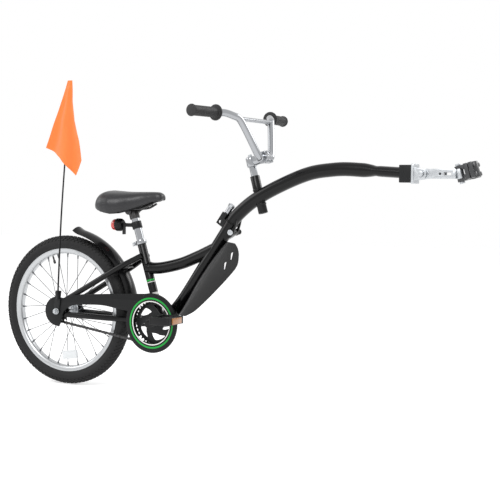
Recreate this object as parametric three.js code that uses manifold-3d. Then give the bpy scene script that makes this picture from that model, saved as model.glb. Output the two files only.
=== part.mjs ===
// Trailer bike: a single-wheel child's half bicycle that is towed from an adult bicycle's seatpost.
// Millimetres, +Z up, +X toward the towing bicycle, +Y to the left. Sizes are laid out from the point
// of the ground under the wheel axle, and the whole part is then moved so that the centre of the
// seatpost clamp is the origin.
import * as THREE from 'three';
import { mergeVertices } from 'three/addons/utils/BufferGeometryUtils.js';
import Module from 'manifold-3d';

const wasm = await Module();
wasm.setup();

// Clearances
const seatGap = 0.3; // between pieces that touch
const runGap = 1.5; // between pieces that turn past each other
const cutOver = 8; // overrun of every cut

// Wheel
const tyreDiameter = 505;
const tyreSection = 49;
const tyreSweep = THREE.MathUtils.degToRad(124); // of the section, to each side of the tread
const tyreSweepSteps = 6;
const tyreRise = 43.5; // the tyre stands this far out from the rim's flange
const rimFlangeDiameter = tyreDiameter - 2 * tyreRise;
const rimWidth = 32;
const rimDepth = 18;
const rimFlangeThickness = 3.6;
const rimChannelDepth = 7;
const rimFloorWidth = 16;
const beadDepth = 5;
const spokeThickness = 2.4;
const spokesPerSide = 14;
const hubFlangeRadius = 23;
const hubFlangeThickness = 3.4;
const hubFlangeSpacing = 50;
const hubBarrelRadius = 14;
const hubBoreRadius = 7;
const nippleLength = 12;
const nippleRadius = 2.4;
const valveRadius = 3;
const valveLength = 26;
const valveCapRadius = 4.2;
const valveCapLength = 12;
const valveSpokes = 8.5; // how many spokes the valve stands past the foremost one
const axleRadius = 5;
const axleNutRadius = 9.5;
const axleNutThickness = 8;
const axleEndLength = 12; // of the axle, from the outer side of a dropout or bracket
const axleWasherRadius = 11;
const axleWasherThickness = 1.8;
const reflectorLength = 62;
const reflectorWidth = 30;
const reflectorThickness = 9;
const reflectorTurnShare = 0.77; // of a turn from forward
const reflectorRimGap = 23; // from the rim's inner side
const spokeLeadShare = 0.13; // of a turn between a spoke's ends

// Frame
const bracketReach = 122.5; // from the tread to the bottom bracket's axis
const bracketX = tyreDiameter / 2 + bracketReach; // forward of the wheel axle
const bracketHeight = 236;
const bracketShellRadius = 22;
const bracketShellWidth = 60;
const bracketBoreRadius = 17;
const cupRadius = 20;
const cupLip = 4;
const spindleRadius = 9;
const downTubeBendShares = [0.23, 0.144]; // of the way from the bracket to the seam
const downTubeSag = 3;
const downTubeStraight = 90; // straight stretch of the down tube below the pivot
const topTubeJoint = 76; // the top tube's end lies this far below the pivot, along the down tube
const topTubeShares = [[0, 0], [0.17, 0.01], [0.49, 0.25], [0.73, 0.57], [1, 1]];
const tongueFoot = 36; // length of the hinge tongue's foot below the pivot
const seatTubeAngle = THREE.MathUtils.degToRad(73);
const seatTubeRadius = 14.3;
const seatTubeDrop = 8; // the seat tube's top below the level of the tyre's top
const seatTubeTop = tyreDiameter - seatTubeDrop;
const seatTubeLength = (seatTubeTop - bracketHeight) / Math.sin(seatTubeAngle);
const seatpostRadius = 12.7;
const topTubeRadius = 19;
const topTubeDrop = 89; // where the top tube's centre line meets the seat tube, below its top
const topTubeJointHeight = seatTubeTop - topTubeDrop;
const downTubeRadius = 20;
const hingeReach = 265; // from the bottom bracket to the fold pivot
const hingeX = bracketX + hingeReach;
const hingeHeight = 532;
const hingeSlope = THREE.MathUtils.degToRad(55.5);
const hingeOffset = 21.4; // the pivot lies this far below the tube's centre line
const seamDistance = 24; // the seam lies this far up the tube from the pivot
const seamFlange = 3; // plates that close the two tube ends
const seamFlangeRadius = 23;
const stayRadius = 9.5;
const dropoutHalfSpacing = 50; // wheel centre to the middle of a dropout plate
const dropoutThickness = 5;
const dropoutRadius = 20;
const dropoutHorn = 32; // the plate reaches this far above the axle, along the seat stay
const stayFlatHalf = 3.8; // half thickness of a stay where it is pressed flat
const stayFlatLength = 110; // from the wheel axle along a stay
const tyreGap = 3.5; // between the tyre's side and a chain stay
const stayFootShares = [0.5, 1.4]; // of the dropout's radius, from the axle
const seatStayShares = [0, 0.15, 0.45, 0.76, 1]; // where the stays bend, from the dropout
const chainStayShares = [0, 0.2, 0.6, 0.82, 1];
const seatStayDrop = 49; // the stays' tops below the seat tube's top
const seatStayTopHeight = seatTubeTop - seatStayDrop;
const seatStayTopHalfSpacing = 17;
const chainStayFrontHalfSpacing = 22;
const bridgeRadius = 7;
const collarHeight = 13;
const collarRadius = 17.5;
const collarEarLength = 12;
const collarEarWidth = 18;
const collarSlit = 3;
const collarBoltRadius = 2.6;

// Fold hinge
const pivotRadius = 5;
const knuckleRadius = 10.5;
const tongueWidth = 22;
const earThickness = 6;
const hingeBlockLength = 22;
const pivotHeadRadius = 9;
const pivotHeadThickness = 6;
const knobRadius = 8.5;
const knobLength = 20;
const knobFlangeRadius = 11;
const knobFlangeThickness = 3.5;
const latchBoltRadius = 5;
const latchSleeveRadius = 9.5;
const latchSleeveLength = 34;
const latchTipLength = 6;
const latchHoleGap = 2.2; // round the bolt's tip, so that the lug swings off it
const starRadius = 11;
const starThickness = 9;
const starPoints = 6;
const lugThickness = 9;
const cheekThickness = 4;
const cheekGap = 1;
const cheekLength = 42;

// Tow arm
const armRadius = 21;
const armReach = 554; // from the seam to the collar, along X
const armRise = 154; // from the seam to the collar, along Z
const armShares = [[0, 0], [0.01, 0.053], [0.058, 0.221], [0.134, 0.429], [0.282, 0.714],
  [0.478, 0.987], [0.608, 1.056], [0.686, 1.069], [0.789, 1.049], [0.895, 1.023], [1, 1]];
const armFlatHeight = 32;
const armFlatLength = 112;
const collarLength = 37;
const collarBlockHeight = 51;
const collarBlockWidth = 46;
const headAngle = THREE.MathUtils.degToRad(74.8);
const headTubeRadius = 14.8;
const headTubeBore = 11.6;
const headReach = 91; // from the fold pivot to the head tube's axis
const headTubeX = hingeX + headReach; // at the height of the arm's centre line
const headTubeBelow = 52;
const headTubeAbove = 66;

// Steering
const quillRadius = 11.1;
const stemBoreRadius = 4.8;
const stemBoltRadius = 4;
const stemBoltHeadRadius = 7;
const stemBoltHeadThickness = 7;
const quillLength = 142;
const wedgeLength = 24;
const barClampLift = 111; // from the arm's centre line to the bar's axis
const stemNeckRadius = 16;
const stemRise = barClampLift + stemNeckRadius; // from the arm's centre line to the stem's top
const barRadius = 11.1;
const barClampRadius = 18.5;
const barClampWidth = 45;
const barClampForward = 49; // clamp centre forward of the head tube's axis
const barHalfWidth = 294;
const barCentreLength = 38; // straight middle, to each side
const barMiddleShare = 0.8; // of that length, where a second place keeps it straight
const barEndShares = [0.1, 0.6]; // the same along a grip
const barRise = 129;
const barShares = [[0, 0, 0], [0.503, 0.395, 0.876], [0.635, 0.5, 0.938], [0.816, 0.686, 1],
  [1, 0.849, 1]]; // across to where the grips' straight begins, back and up
const barStraightLead = 4; // straight length inside a grip's inner end
const barBack = 86; // the grips' ends lie this far behind the clamp
const crossBarRadius = 7;
const crossBarRiseShare = 0.1;
const gripRadius = 15.5;
const gripLength = 118;
const gripFlangeRadius = 24;
const gripFlangeThickness = 4;
const gripCapRadius = 18;
const gripCapThickness = 6;

// Hitch
const hitchDrop = 3; // the hitch's centre lies this far below the arm's tip
const yokeThickness = 8;
const yokeHeight = 57;
const yokeWidth = 50;
const yokeEarThickness = 7;
const pitchReach = 29; // from the collar's front face to the pitch bolt
const pitchBossRadius = 15.7;
const pitchBoltRadius = 6;
const pitchHeadRadius = 8.8;
const pitchHeadThickness = 7;
const knuckleWidth = 30;
const tongueHeight = 28;
const tongueBreadth = 32;
const tongueWall = 3;
const tongueNose = 29; // the solid knuckle ends this far forward of the pitch bolt
const swivelReach = 108; // pitch bolt to swivel pin
const swivelPinRadius = 5;
const swivelHeadRadius = 8;
const swivelHeadThickness = 6;
const swivelEarThickness = 8;
const swivelBossRadius = 12;
const tongueSlotLength = 22;
const tongueSlotWidth = 8;
const tongueHoleRadius = 4;
const postLean = THREE.MathUtils.degToRad(74.3);
const postRadius = 13.6;
const clampBehind = 35; // swivel pin to the clamp's centre
const clampWall = 7;
const clampWingWidth = 31; // half width over the bolt wings
const clampWingThickness = 11;
const clampSlit = 3;
const clampBoltRadius = 3.2;
const clampHeadRadius = 6;
const clampHeadThickness = 5;
const clampBoltLift = 13;

// Seat
const postExposed = 105; // the post's top above the seat tube's top
const postTopHeight = seatTubeTop + postExposed;
const postDepth = 90; // length inside the seat tube
const postTravel = 32; // bore left below the post
const saddleLength = 240;
const saddleWidth = 168;
const saddleLift = 59; // the saddle's top above the post's top
const saddleTopHeight = postTopHeight + saddleLift;
const cushionDepth = 12;
const saddleStations = [0, 0.03, 0.08, 0.16, 0.28, 0.42, 0.56, 0.7, 0.84, 0.93, 0.98, 1];
const saddleWidthShares = [0.55, 0.74, 0.88, 0.97, 1, 0.86, 0.58, 0.39, 0.3, 0.27, 0.22, 0.12];
const saddleSkirtShares = [0.81, 0.83, 0.87, 0.95, 1, 0.97, 0.84, 0.68, 0.53, 0.47, 0.44, 0.43];
const saddleRiseShares = [0.12, 0.62, 0.9, 1, 0.97, 0.93, 0.91, 0.91, 0.9, 0.87, 0.7, 0.2];
const railShares = [[0.16, 1.2, 0], [0.2, 1, 0], [0.3, 1, 0], [0.42, 1, 0], [0.56, 1, 0],
  [0.7, 1, 0.2], [0.84, 0.6, 1]]; // along, across and up to the nose
const saddleSectionShares = [[0, 0], [0.36, 0.03], [0.66, 0.1], [0.88, 0.27], [1, 0.55], [0.95, 1]];
const saddleSkirt = 77; // top down to the lowest edge of the skirt
const saddleSetback = 228; // the saddle's rear end behind the bottom bracket
const saddleRear = bracketX - saddleSetback;
const shellThickness = 4;
const railRadius = 3.5;
const railHalfSpacing = 19;
const clampBandHeight = 14;
const saddleBoltRadius = 4;
const saddleBarrelRadius = 11;
const saddleWasherThickness = 5;
const saddleThinShare = 0.6;
const railTuck = 12; // the rails' rear ends stand this far below the shell's top
const saddleNutRadius = 7.5;
const saddleNutThickness = 7;
const lightDrop = 56; // the light's axis below the post's top
const lightHeight = postTopHeight - lightDrop;
const lightRadius = 21;
const lightLensRadius = 19;
const lightLensThickness = 18;
const lightLength = 24;
const lightReach = 96; // post's axis to the lens
const lightBandHeight = 23;
const lightBandWall = 4;
const lightBracketThickness = 12;
const lightTaperShare = 0.7; // of a radius, at the narrow end of lens and housing
const lightStraightShare = 0.6; // of the housing's length
const lightTabLength = 38;
const lightTabDrop = 12; // the tab's middle lies this far below the light's axis

// Drive
const chainPitch = 12.7;
const ringTeeth = 36;
const cogTeeth = 18;
const chainOffset = 38; // chain line, to the right of the wheel's centre
const toothThickness = 2.4;
const rollerRadius = 3.9;
const toothShare = 0.75; // of the roller's radius, above the pitch circle
const toothFootShare = 0.236; // of a tooth's pitch
const toothTipShare = 0.415;
const linkHalfHeight = 4;
const rollerHalfShare = 0.64; // of the roller's radius, half the length of its squared form
const linkPlate = 1.1;
const innerLinkHalfWidth = 3.3;
const outerLinkHalfWidth = 4.8;
const ringArms = 5;
const ringRimWidth = 12;
const ringHubRadius = 34;
const ringArmWidth = 26;
const ringArmSweep = 0.5; // radians that each arm sweeps from hub to rim
const cogBodyRadius = 24;
const cogBodyWidth = 14;
const cogBore = 15;
const crankLength = 102;
const crankBarWidth = 20;
const crankBarThickness = 12;
const crankHalfWidth = 80; // wheel's centre plane to the outer face of a crank end
const crankTurn = THREE.MathUtils.degToRad(13);
const crankEyeRadius = 13;
const pedalCollar = 5; // pedal shaft's collar between crank end and pedal
const pedalSpindleRadius = 5.5;
const pedalCollarRadius = 8;
const pedalLength = 74;
const pedalWidth = 85;
const pedalThickness = 25;
const pedalRail = 9;
const pedalBarrelRadius = 9;
const pedalEnd = 8;
const pedalReflectorLength = 54;
const pedalReflectorHeight = 20;
const pedalReflectorThickness = 4;

// Chain guard
const guardOffset = 61; // outer face, to the right of the wheel's centre
const guardThickness = 2.5;
const guardDiscRadius = 96;
const guardDiscBore = 68;
const guardLobeRadius = 49;
const guardTop = 93; // top edge above the bottom bracket
const guardLip = 4;
const guardBossRadius = 6;
const guardLobeTurnShares = [0.18, 0.75]; // of a turn, where the lobe's arc begins and ends
const guardShoulderShares = [0.285, 0.86];
const guardBandShares = [[0.016, -0.376], [0.035, -0.226], [0.045, -0.075], [0.08, 0.2],
  [0.16, 0.41], [0.38, 0.495], [0.51, 0.495], [0.65, 0.42], [0.9, 0.3]];

// Fender
const fenderGap = 27.5; // from the tread to the fender's outer face
const fenderRadius = tyreDiameter / 2 + fenderGap;
const fenderWidth = 64;
const fenderThickness = 2;
const fenderCrown = 12;
const fenderStart = THREE.MathUtils.degToRad(10);
const fenderEnd = THREE.MathUtils.degToRad(81);
const fenderLip = 14;

// Splash guard
const splashTopShare = 0.86; // of the down tube's length from the bracket
const splashBottomShare = 0.16;
const splashWidth = 100; // half width at the widest place
const splashSweep = 30; // the edges stand this far forward of the crease
const splashThickness = 3;
const splashBendPower = 1.3; // how the wings curl forward away from the crease
const splashSlotLength = 34;
const splashSlotWidth = 9;
const splashSlotShares = [[0.16, 0.55], [0.3, 0.55]]; // along the guard and across a wing
const splashSlotTilt = 0.5;
const splashShares = [[0, 0.34], [0.05, 0.56], [0.14, 0.8], [0.28, 1], [0.45, 0.93], [0.62, 0.78],
  [0.78, 0.62], [0.92, 0.46], [1, 0.26]];

// Flag
const flagOffset = 68; // pole, to the right of the wheel's centre
const poleRadius = 2.9;
const poleHeight = 722;
const poleLean = 57; // the top stands this far forward of the axle
const poleBow = 6;
const poleBowShare = 0.4; // of its length, where it bows back most
const poleStart = 9; // pole's foot, forward of the axle
const flagSocketLift = 44; // above the axle
const flagSocketLength = 26;
const flagSocketRadius = 5.5;
const flagBracketWidth = 22;
const flagBracketThickness = 3;
const flagLength = 312;
const flagWidth = 142;
const flagRearShares = [-0.07, -0.2, -0.36, -0.51, -0.65];
const flagFrontShares = [0.06, 0.08, 0.14, 0.28, 0.36];
const flagHemShares = [0.705, 0.75, 0.81, 0.9, 1, 0.84];
const sleeveLength = 84;
const sleeveWall = 1.2;
const flagThickness = 3;
const flagFold = 9;
const flagFoldCount = 1.5;

// Colours
const glossBlack = 0x141416;
const satinGrey = 0x2b2d2f;
const silver = 0xb9bcbe;
const chromeGrey = 0xd4d7d9;
const rubberBlack = 0x1b1b1c;
const lensRed = 0xb3202a;
const flagOrange = 0xf0561d;
const clearGrey = 0xd9dcd8;
const gripBlack = 0x232324;
const steelGrey = 0x7d8083;

// Facets
const frameSides = 12;
const roundSides = 10;
const tubeSides = 8;
const smallSides = 6;
const wheelSides = 32;
const boreSides = 16;
const topTubeSteps = 7;
const downTubeSteps = 10;
const armSteps = 13;
const barSteps = 24;
const staySteps = 8;
const mergeDistance = 0.0005;

// Placing
const fromBracket = (geometry, along = 0) => geometry
  .translate(0, 0, along)
  .rotateY(seatTubeAngle - Math.PI / 2)
  .translate(bracketX, 0, bracketHeight);
const fromPivot = (geometry) => geometry
  .rotateY(-hingeSlope)
  .translate(hingeX, 0, hingeHeight);
const point = (x, y, z) => new THREE.Vector3(x, y, z);

// A closed mesh as a solid that can be cut and joined
function solid(geometry) {
  const bare = geometry.clone();
  for (const name of Object.keys(bare.attributes)) {
    if (name !== 'position') bare.deleteAttribute(name);
  }
  const merged = mergeVertices(bare, mergeDistance);
  const places = merged.attributes.position;
  const corners = merged.index.array;
  const kept = [];
  let volume = 0;
  const a = new THREE.Vector3();
  const b = new THREE.Vector3();
  const c = new THREE.Vector3();
  for (let i = 0; i < corners.length; i += 3) {
    const [p, q, r] = [corners[i], corners[i + 1], corners[i + 2]];
    if (p === q || q === r || p === r) continue;
    kept.push(p, q, r);
    a.fromBufferAttribute(places, p);
    b.fromBufferAttribute(places, q);
    c.fromBufferAttribute(places, r);
    volume += a.dot(b.cross(c));
  }
  if (volume < 0) kept.reverse();
  return new wasm.Manifold(new wasm.Mesh({
    numProp: 3,
    vertProperties: new Float32Array(places.array),
    triVerts: new Uint32Array(kept),
  }));
}

const join = (...geometries) => geometries
  .map((item) => (item.isBufferGeometry ? solid(item) : item))
  .reduce((whole, item) => whole.add(item));
const cut = (body, ...tools) => tools
  .map((item) => (item.isBufferGeometry ? solid(item) : item))
  .reduce((whole, item) => whole.subtract(item), body.isBufferGeometry ? solid(body) : body);

function surface(body) {
  const { vertProperties, triVerts, numProp } = body.getMesh();
  const places = [];
  for (let i = 0; i < vertProperties.length; i += numProp) {
    places.push(vertProperties[i], vertProperties[i + 1], vertProperties[i + 2]);
  }
  const geometry = new THREE.BufferGeometry();
  geometry.setAttribute('position', new THREE.Float32BufferAttribute(places, 3));
  geometry.setIndex(Array.from(triVerts));
  geometry.computeVertexNormals();
  return geometry;
}

// Basic shapes
const block = (length, width, height, x = 0, y = 0, z = 0) => new THREE
  .BoxGeometry(length, width, height)
  .translate(x, y, z);
const postAlongZ = (radius, from, to, sides = roundSides, topRadius = radius) => new THREE
  .CylinderGeometry(topRadius, radius, to - from, sides)
  .rotateX(Math.PI / 2)
  .translate(0, 0, (from + to) / 2);
const pinAlongY = (radius, from, to, x = 0, z = 0, sides = roundSides) => new THREE
  .CylinderGeometry(radius, radius, to - from, sides)
  .translate(x, (from + to) / 2, z);
const barAlongX = (radius, from, to, y = 0, z = 0, sides = roundSides) => new THREE
  .CylinderGeometry(radius, radius, to - from, sides)
  .rotateZ(-Math.PI / 2)
  .translate((from + to) / 2, y, z);

function rod(start, end, radius, sides = smallSides, endRadius = radius) {
  const line = end.clone().sub(start);
  const turn = new THREE.Quaternion()
    .setFromUnitVectors(new THREE.Vector3(0, 1, 0), line.clone().normalize());
  const middle = start.clone().add(end).divideScalar(2);
  return new THREE.CylinderGeometry(endRadius, radius, line.length(), sides)
    .applyQuaternion(turn)
    .translate(middle.x, middle.y, middle.z);
}

function tubeAlong(points, radius, sides = tubeSides, steps = 24) {
  const ring = new THREE.Shape();
  for (let i = 0; i < sides; i += 1) {
    const turn = (2 * Math.PI * i) / sides;
    const [x, y] = [radius * Math.cos(turn), radius * Math.sin(turn)];
    if (i === 0) ring.moveTo(x, y);
    else ring.lineTo(x, y);
  }
  ring.closePath();
  const path = new THREE.CatmullRomCurve3(points, false, 'centripetal');
  return new THREE.ExtrudeGeometry(ring, { steps, extrudePath: path, bevelEnabled: false });
}

const revolve = (profile, sides, x = 0, z = 0) => new THREE
  .LatheGeometry(profile.map(([radius, y]) => new THREE.Vector2(radius, y)), sides)
  .translate(x, 0, z);
const loop = (profile) => [...profile, profile[0]];

// An outline in the upright plane, given thickness between two places across the bike
function plate(outline, from, to, curveSegments = smallSides) {
  return new THREE.ExtrudeGeometry(outline, { depth: to - from, bevelEnabled: false, curveSegments })
    .rotateX(Math.PI / 2)
    .translate(0, to, 0);
}

function outlineOf(points) {
  const outline = new THREE.Shape();
  points.forEach(([x, y], i) => (i === 0 ? outline.moveTo(x, y) : outline.lineTo(x, y)));
  outline.closePath();
  return outline;
}

const arcPoints = (x, y, radius, from, to, count) => Array.from({ length: count + 1 }, (_, i) => {
  const turn = from + ((to - from) * i) / count;
  return [x + radius * Math.cos(turn), y + radius * Math.sin(turn)];
});

// Rings of equal count joined into a closed solid, with a fan over each end
function loft(rings) {
  const places = [];
  const corners = [];
  const count = rings[0].length;
  rings.forEach((ring) => ring.forEach((place) => places.push(place.x, place.y, place.z)));
  for (let i = 0; i + 1 < rings.length; i += 1) {
    for (let k = 0; k < count; k += 1) {
      const here = i * count + k;
      const next = i * count + ((k + 1) % count);
      corners.push(here, next, next + count, here, next + count, here + count);
    }
  }
  const last = (rings.length - 1) * count;
  for (let k = 1; k + 1 < count; k += 1) {
    corners.push(0, k + 1, k);
    corners.push(last, last + k, last + k + 1);
  }
  const geometry = new THREE.BufferGeometry();
  geometry.setAttribute('position', new THREE.Float32BufferAttribute(places, 3));
  geometry.setIndex(corners);
  return geometry;
}

// Two grids of equal size joined along their edges into a closed skin
function skin(front, back) {
  const rows = front.length;
  const columns = front[0].length;
  const places = [];
  [front, back].forEach((grid) => grid.flat().forEach((place) => {
    places.push(place.x, place.y, place.z);
  }));
  const at = (side, row, column) => side * rows * columns + row * columns + column;
  const corners = [];
  for (let i = 0; i + 1 < rows; i += 1) {
    for (let k = 0; k + 1 < columns; k += 1) {
      const [p, q, r, s] = [at(0, i, k), at(0, i, k + 1), at(0, i + 1, k + 1), at(0, i + 1, k)];
      corners.push(p, q, r, p, r, s);
      const [t, u, v, w] = [at(1, i, k), at(1, i, k + 1), at(1, i + 1, k + 1), at(1, i + 1, k)];
      corners.push(t, v, u, t, w, v);
    }
  }
  const edge = [];
  for (let k = 0; k < columns - 1; k += 1) edge.push([0, k]);
  for (let i = 0; i < rows - 1; i += 1) edge.push([i, columns - 1]);
  for (let k = columns - 1; k > 0; k -= 1) edge.push([rows - 1, k]);
  for (let i = rows - 1; i > 0; i -= 1) edge.push([i, 0]);
  edge.forEach(([row, column], i) => {
    const [nextRow, nextColumn] = edge[(i + 1) % edge.length];
    const [p, q] = [at(0, row, column), at(0, nextRow, nextColumn)];
    const [t, u] = [at(1, row, column), at(1, nextRow, nextColumn)];
    corners.push(p, t, u, p, u, q);
  });
  const geometry = new THREE.BufferGeometry();
  geometry.setAttribute('position', new THREE.Float32BufferAttribute(places, 3));
  geometry.setIndex(corners);
  return geometry;
}

// The scene graph
const trailerBike = new THREE.Group();
const layout = new THREE.Group();
trailerBike.add(layout);

function piece(name, body, color, roughness, metalness, parent = layout) {
  const geometry = surface(body.isBufferGeometry ? solid(body) : body);
  const mesh = new THREE.Mesh(
    geometry,
    new THREE.MeshStandardMaterial({ color, roughness, metalness }),
  );
  mesh.name = name;
  parent.add(mesh);
  return mesh;
}

// Wheel
const axleHeight = tyreDiameter / 2;
const rimRadius = rimFlangeDiameter / 2;
const rimHalf = rimWidth / 2;
const wheel = new THREE.Group();
wheel.position.set(0, 0, axleHeight);
layout.add(wheel);

const tyreCentre = axleHeight - tyreSection / 2;
const tyreArc = arcPoints(tyreCentre, 0, tyreSection / 2, -tyreSweep, tyreSweep, tyreSweepSteps);
const beadHalf = rimHalf - rimFlangeThickness - seatGap;
piece('tyre', revolve(loop([
  ...tyreArc,
  [rimRadius + seatGap, beadHalf],
  [rimRadius - beadDepth, beadHalf],
  [rimRadius - beadDepth, -beadHalf],
  [rimRadius + seatGap, -beadHalf],
]), wheelSides), rubberBlack, 0.9, 0, wheel);

const rimFloorRadius = rimRadius - rimDepth;
const rimChannel = rimRadius - rimChannelDepth;
const channelHalf = rimHalf - rimFlangeThickness;
const rimBody = solid(revolve(loop([
  [rimRadius, -rimHalf],
  [rimRadius, -channelHalf],
  [rimChannel, -channelHalf],
  [rimChannel, channelHalf],
  [rimRadius, channelHalf],
  [rimRadius, rimHalf],
  [rimFloorRadius, rimFloorWidth / 2],
  [rimFloorRadius, -rimFloorWidth / 2],
]), wheelSides));
const rimInner = rimFloorRadius * Math.cos(Math.PI / wheelSides);
piece('rim', rimBody, silver, 0.35, 0.9, wheel);

// The valve stands on the rim's inner face, between two spokes, and points at the hub
const spokeCount = 2 * spokesPerSide;
const valveTurn = (2 * Math.PI * valveSpokes) / spokeCount;
const valveOut = point(Math.cos(valveTurn), 0, Math.sin(valveTurn));
const valveTop = rimInner - seatGap;
piece('valve', join(
  rod(valveOut.clone().multiplyScalar(valveTop), valveOut.clone()
    .multiplyScalar(valveTop - valveLength), valveRadius),
  rod(valveOut.clone().multiplyScalar(valveTop - valveLength + valveCapLength), valveOut.clone()
    .multiplyScalar(valveTop - valveLength), valveCapRadius),
), rubberBlack, 0.8, 0, wheel);

// Hub, with every spoke laced from a flange to its nipple at the rim
const flangeY = hubFlangeSpacing / 2;
const flangeHalf = hubFlangeThickness / 2;
const hubHalf = flangeY + hubFlangeThickness;
let hub = solid(revolve(loop([
  [hubBoreRadius, -hubHalf],
  [hubBarrelRadius, -hubHalf],
  [hubBarrelRadius, -flangeY - flangeHalf],
  [hubFlangeRadius, -flangeY - flangeHalf],
  [hubFlangeRadius, -flangeY + flangeHalf],
  [hubBarrelRadius, -flangeY + flangeHalf],
  [hubBarrelRadius, flangeY - flangeHalf],
  [hubFlangeRadius, flangeY - flangeHalf],
  [hubFlangeRadius, flangeY + flangeHalf],
  [hubBarrelRadius, flangeY + flangeHalf],
  [hubBarrelRadius, hubHalf],
  [hubBoreRadius, hubHalf],
]), roundSides));
const spokeCircle = hubFlangeRadius - spokeThickness;
for (let i = 0; i < spokeCount; i += 1) {
  const side = i % 2 === 0 ? 1 : -1;
  const across = i % 4 < 2 ? 1 : -1;
  const rimTurn = (2 * Math.PI * i) / spokeCount;
  const hubTurn = rimTurn + across * spokeLeadShare * 2 * Math.PI;
  const y = side * flangeY;
  const start = point(spokeCircle * Math.cos(hubTurn), y, spokeCircle * Math.sin(hubTurn));
  const endRadius = rimInner - seatGap - nippleRadius / 4;
  const end = point(endRadius * Math.cos(rimTurn), 0, endRadius * Math.sin(rimTurn));
  const line = end.clone().sub(start).normalize();
  const side1 = point(0, 1, 0).cross(line).normalize();
  const side2 = line.clone().cross(side1);
  const ringAt = (place, radius) => arcPoints(0, 0, radius, 0, (4 / 3) * Math.PI, 2)
    .map(([u, v]) => place.clone().addScaledVector(side1, u).addScaledVector(side2, v));
  const nipple = end.clone().addScaledVector(line, -nippleLength);
  hub = hub.add(solid(loft([
    ringAt(start, spokeThickness / 2),
    ringAt(nipple, spokeThickness / 2),
    ringAt(end, nippleRadius),
  ])));
}
piece('hub_and_spokes', hub, silver, 0.35, 0.9, wheel);

// Clear reflector, clipped over the spokes where they lean in toward the rim
const reflectorRadius = rimInner - reflectorRimGap - reflectorWidth / 2;
const reflectorTurn = reflectorTurnShare * 2 * Math.PI;
const reflectorInner = reflectorRadius - reflectorWidth / 2;
const spokeLean = (rimInner - reflectorInner) / (rimInner - spokeCircle);
const reflectorY = flangeY * spokeLean + spokeThickness / 2 + seatGap + reflectorThickness / 2;
piece('wheel_reflector', block(reflectorWidth, reflectorThickness, reflectorLength)
  .rotateY(-reflectorTurn)
  .translate(
    reflectorRadius * Math.cos(reflectorTurn),
    -reflectorY,
    reflectorRadius * Math.sin(reflectorTurn),
  ), clearGrey, 0.2, 0, wheel);

// Tapered tubes: a(t) is the half width across the bike, b(t) the half height
function taperedTube(points, steps, sides, widthAt, heightAt) {
  const path = new THREE.CatmullRomCurve3(points, false, 'centripetal');
  const across = point(0, 1, 0);
  const rings = [];
  for (let i = 0; i <= steps; i += 1) {
    const share = i / steps;
    const centre = path.getPointAt(share);
    const along = path.getTangentAt(share);
    const side = across.clone().addScaledVector(along, -across.dot(along)).normalize();
    const rise = along.clone().cross(side);
    rings.push(Array.from({ length: sides }, (_, k) => {
      const turn = (2 * Math.PI * k) / sides;
      return centre.clone()
        .addScaledVector(side, widthAt(share) * Math.cos(turn))
        .addScaledVector(rise, heightAt(share) * Math.sin(turn));
    }));
  }
  return loft(rings);
}

// Frame: seat tube, top tube, down tube, bottom bracket shell and hinge tongue are one weldment
const tubeSlope = point(Math.cos(hingeSlope), 0, Math.sin(hingeSlope));
const tubeAbove = point(-Math.sin(hingeSlope), 0, Math.cos(hingeSlope));
const pivot = point(hingeX, 0, hingeHeight);
const onTube = (along, above) => pivot.clone()
  .addScaledVector(tubeSlope, along)
  .addScaledVector(tubeAbove, hingeOffset + above);
const bracket = point(bracketX, 0, bracketHeight);
const seatSlope = point(-Math.cos(seatTubeAngle), 0, Math.sin(seatTubeAngle));
const onSeatTube = (height) => bracket.clone()
  .addScaledVector(seatSlope, (height - bracketHeight) / Math.sin(seatTubeAngle));
const seamFace = seatGap / 2; // each side's face stands this far from the seam's plane

const downTubeTop = onTube(seamDistance - seamFlange, 0);
const downTubeLow = bracket.clone().add(point(
  downTubeBendShares[0] * (downTubeTop.x - bracketX),
  0,
  downTubeBendShares[1] * (downTubeTop.z - bracketHeight),
));
const downTubeMiddle = downTubeLow.clone().lerp(downTubeTop, 0.5)
  .addScaledVector(tubeAbove, -downTubeSag);
const downTubeKnee = onTube(-downTubeStraight, 0);
const downTubePath = [bracket, downTubeLow, downTubeMiddle, downTubeKnee, downTubeTop];
const topTubeRear = onSeatTube(topTubeJointHeight);
const topTubeFront = onTube(-topTubeJoint, 0);
const topTubePath = topTubeShares.map(([x, z]) => point(
  topTubeRear.x + x * (topTubeFront.x - topTubeRear.x),
  0,
  topTubeRear.z + z * (topTubeFront.z - topTubeRear.z),
));

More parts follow.
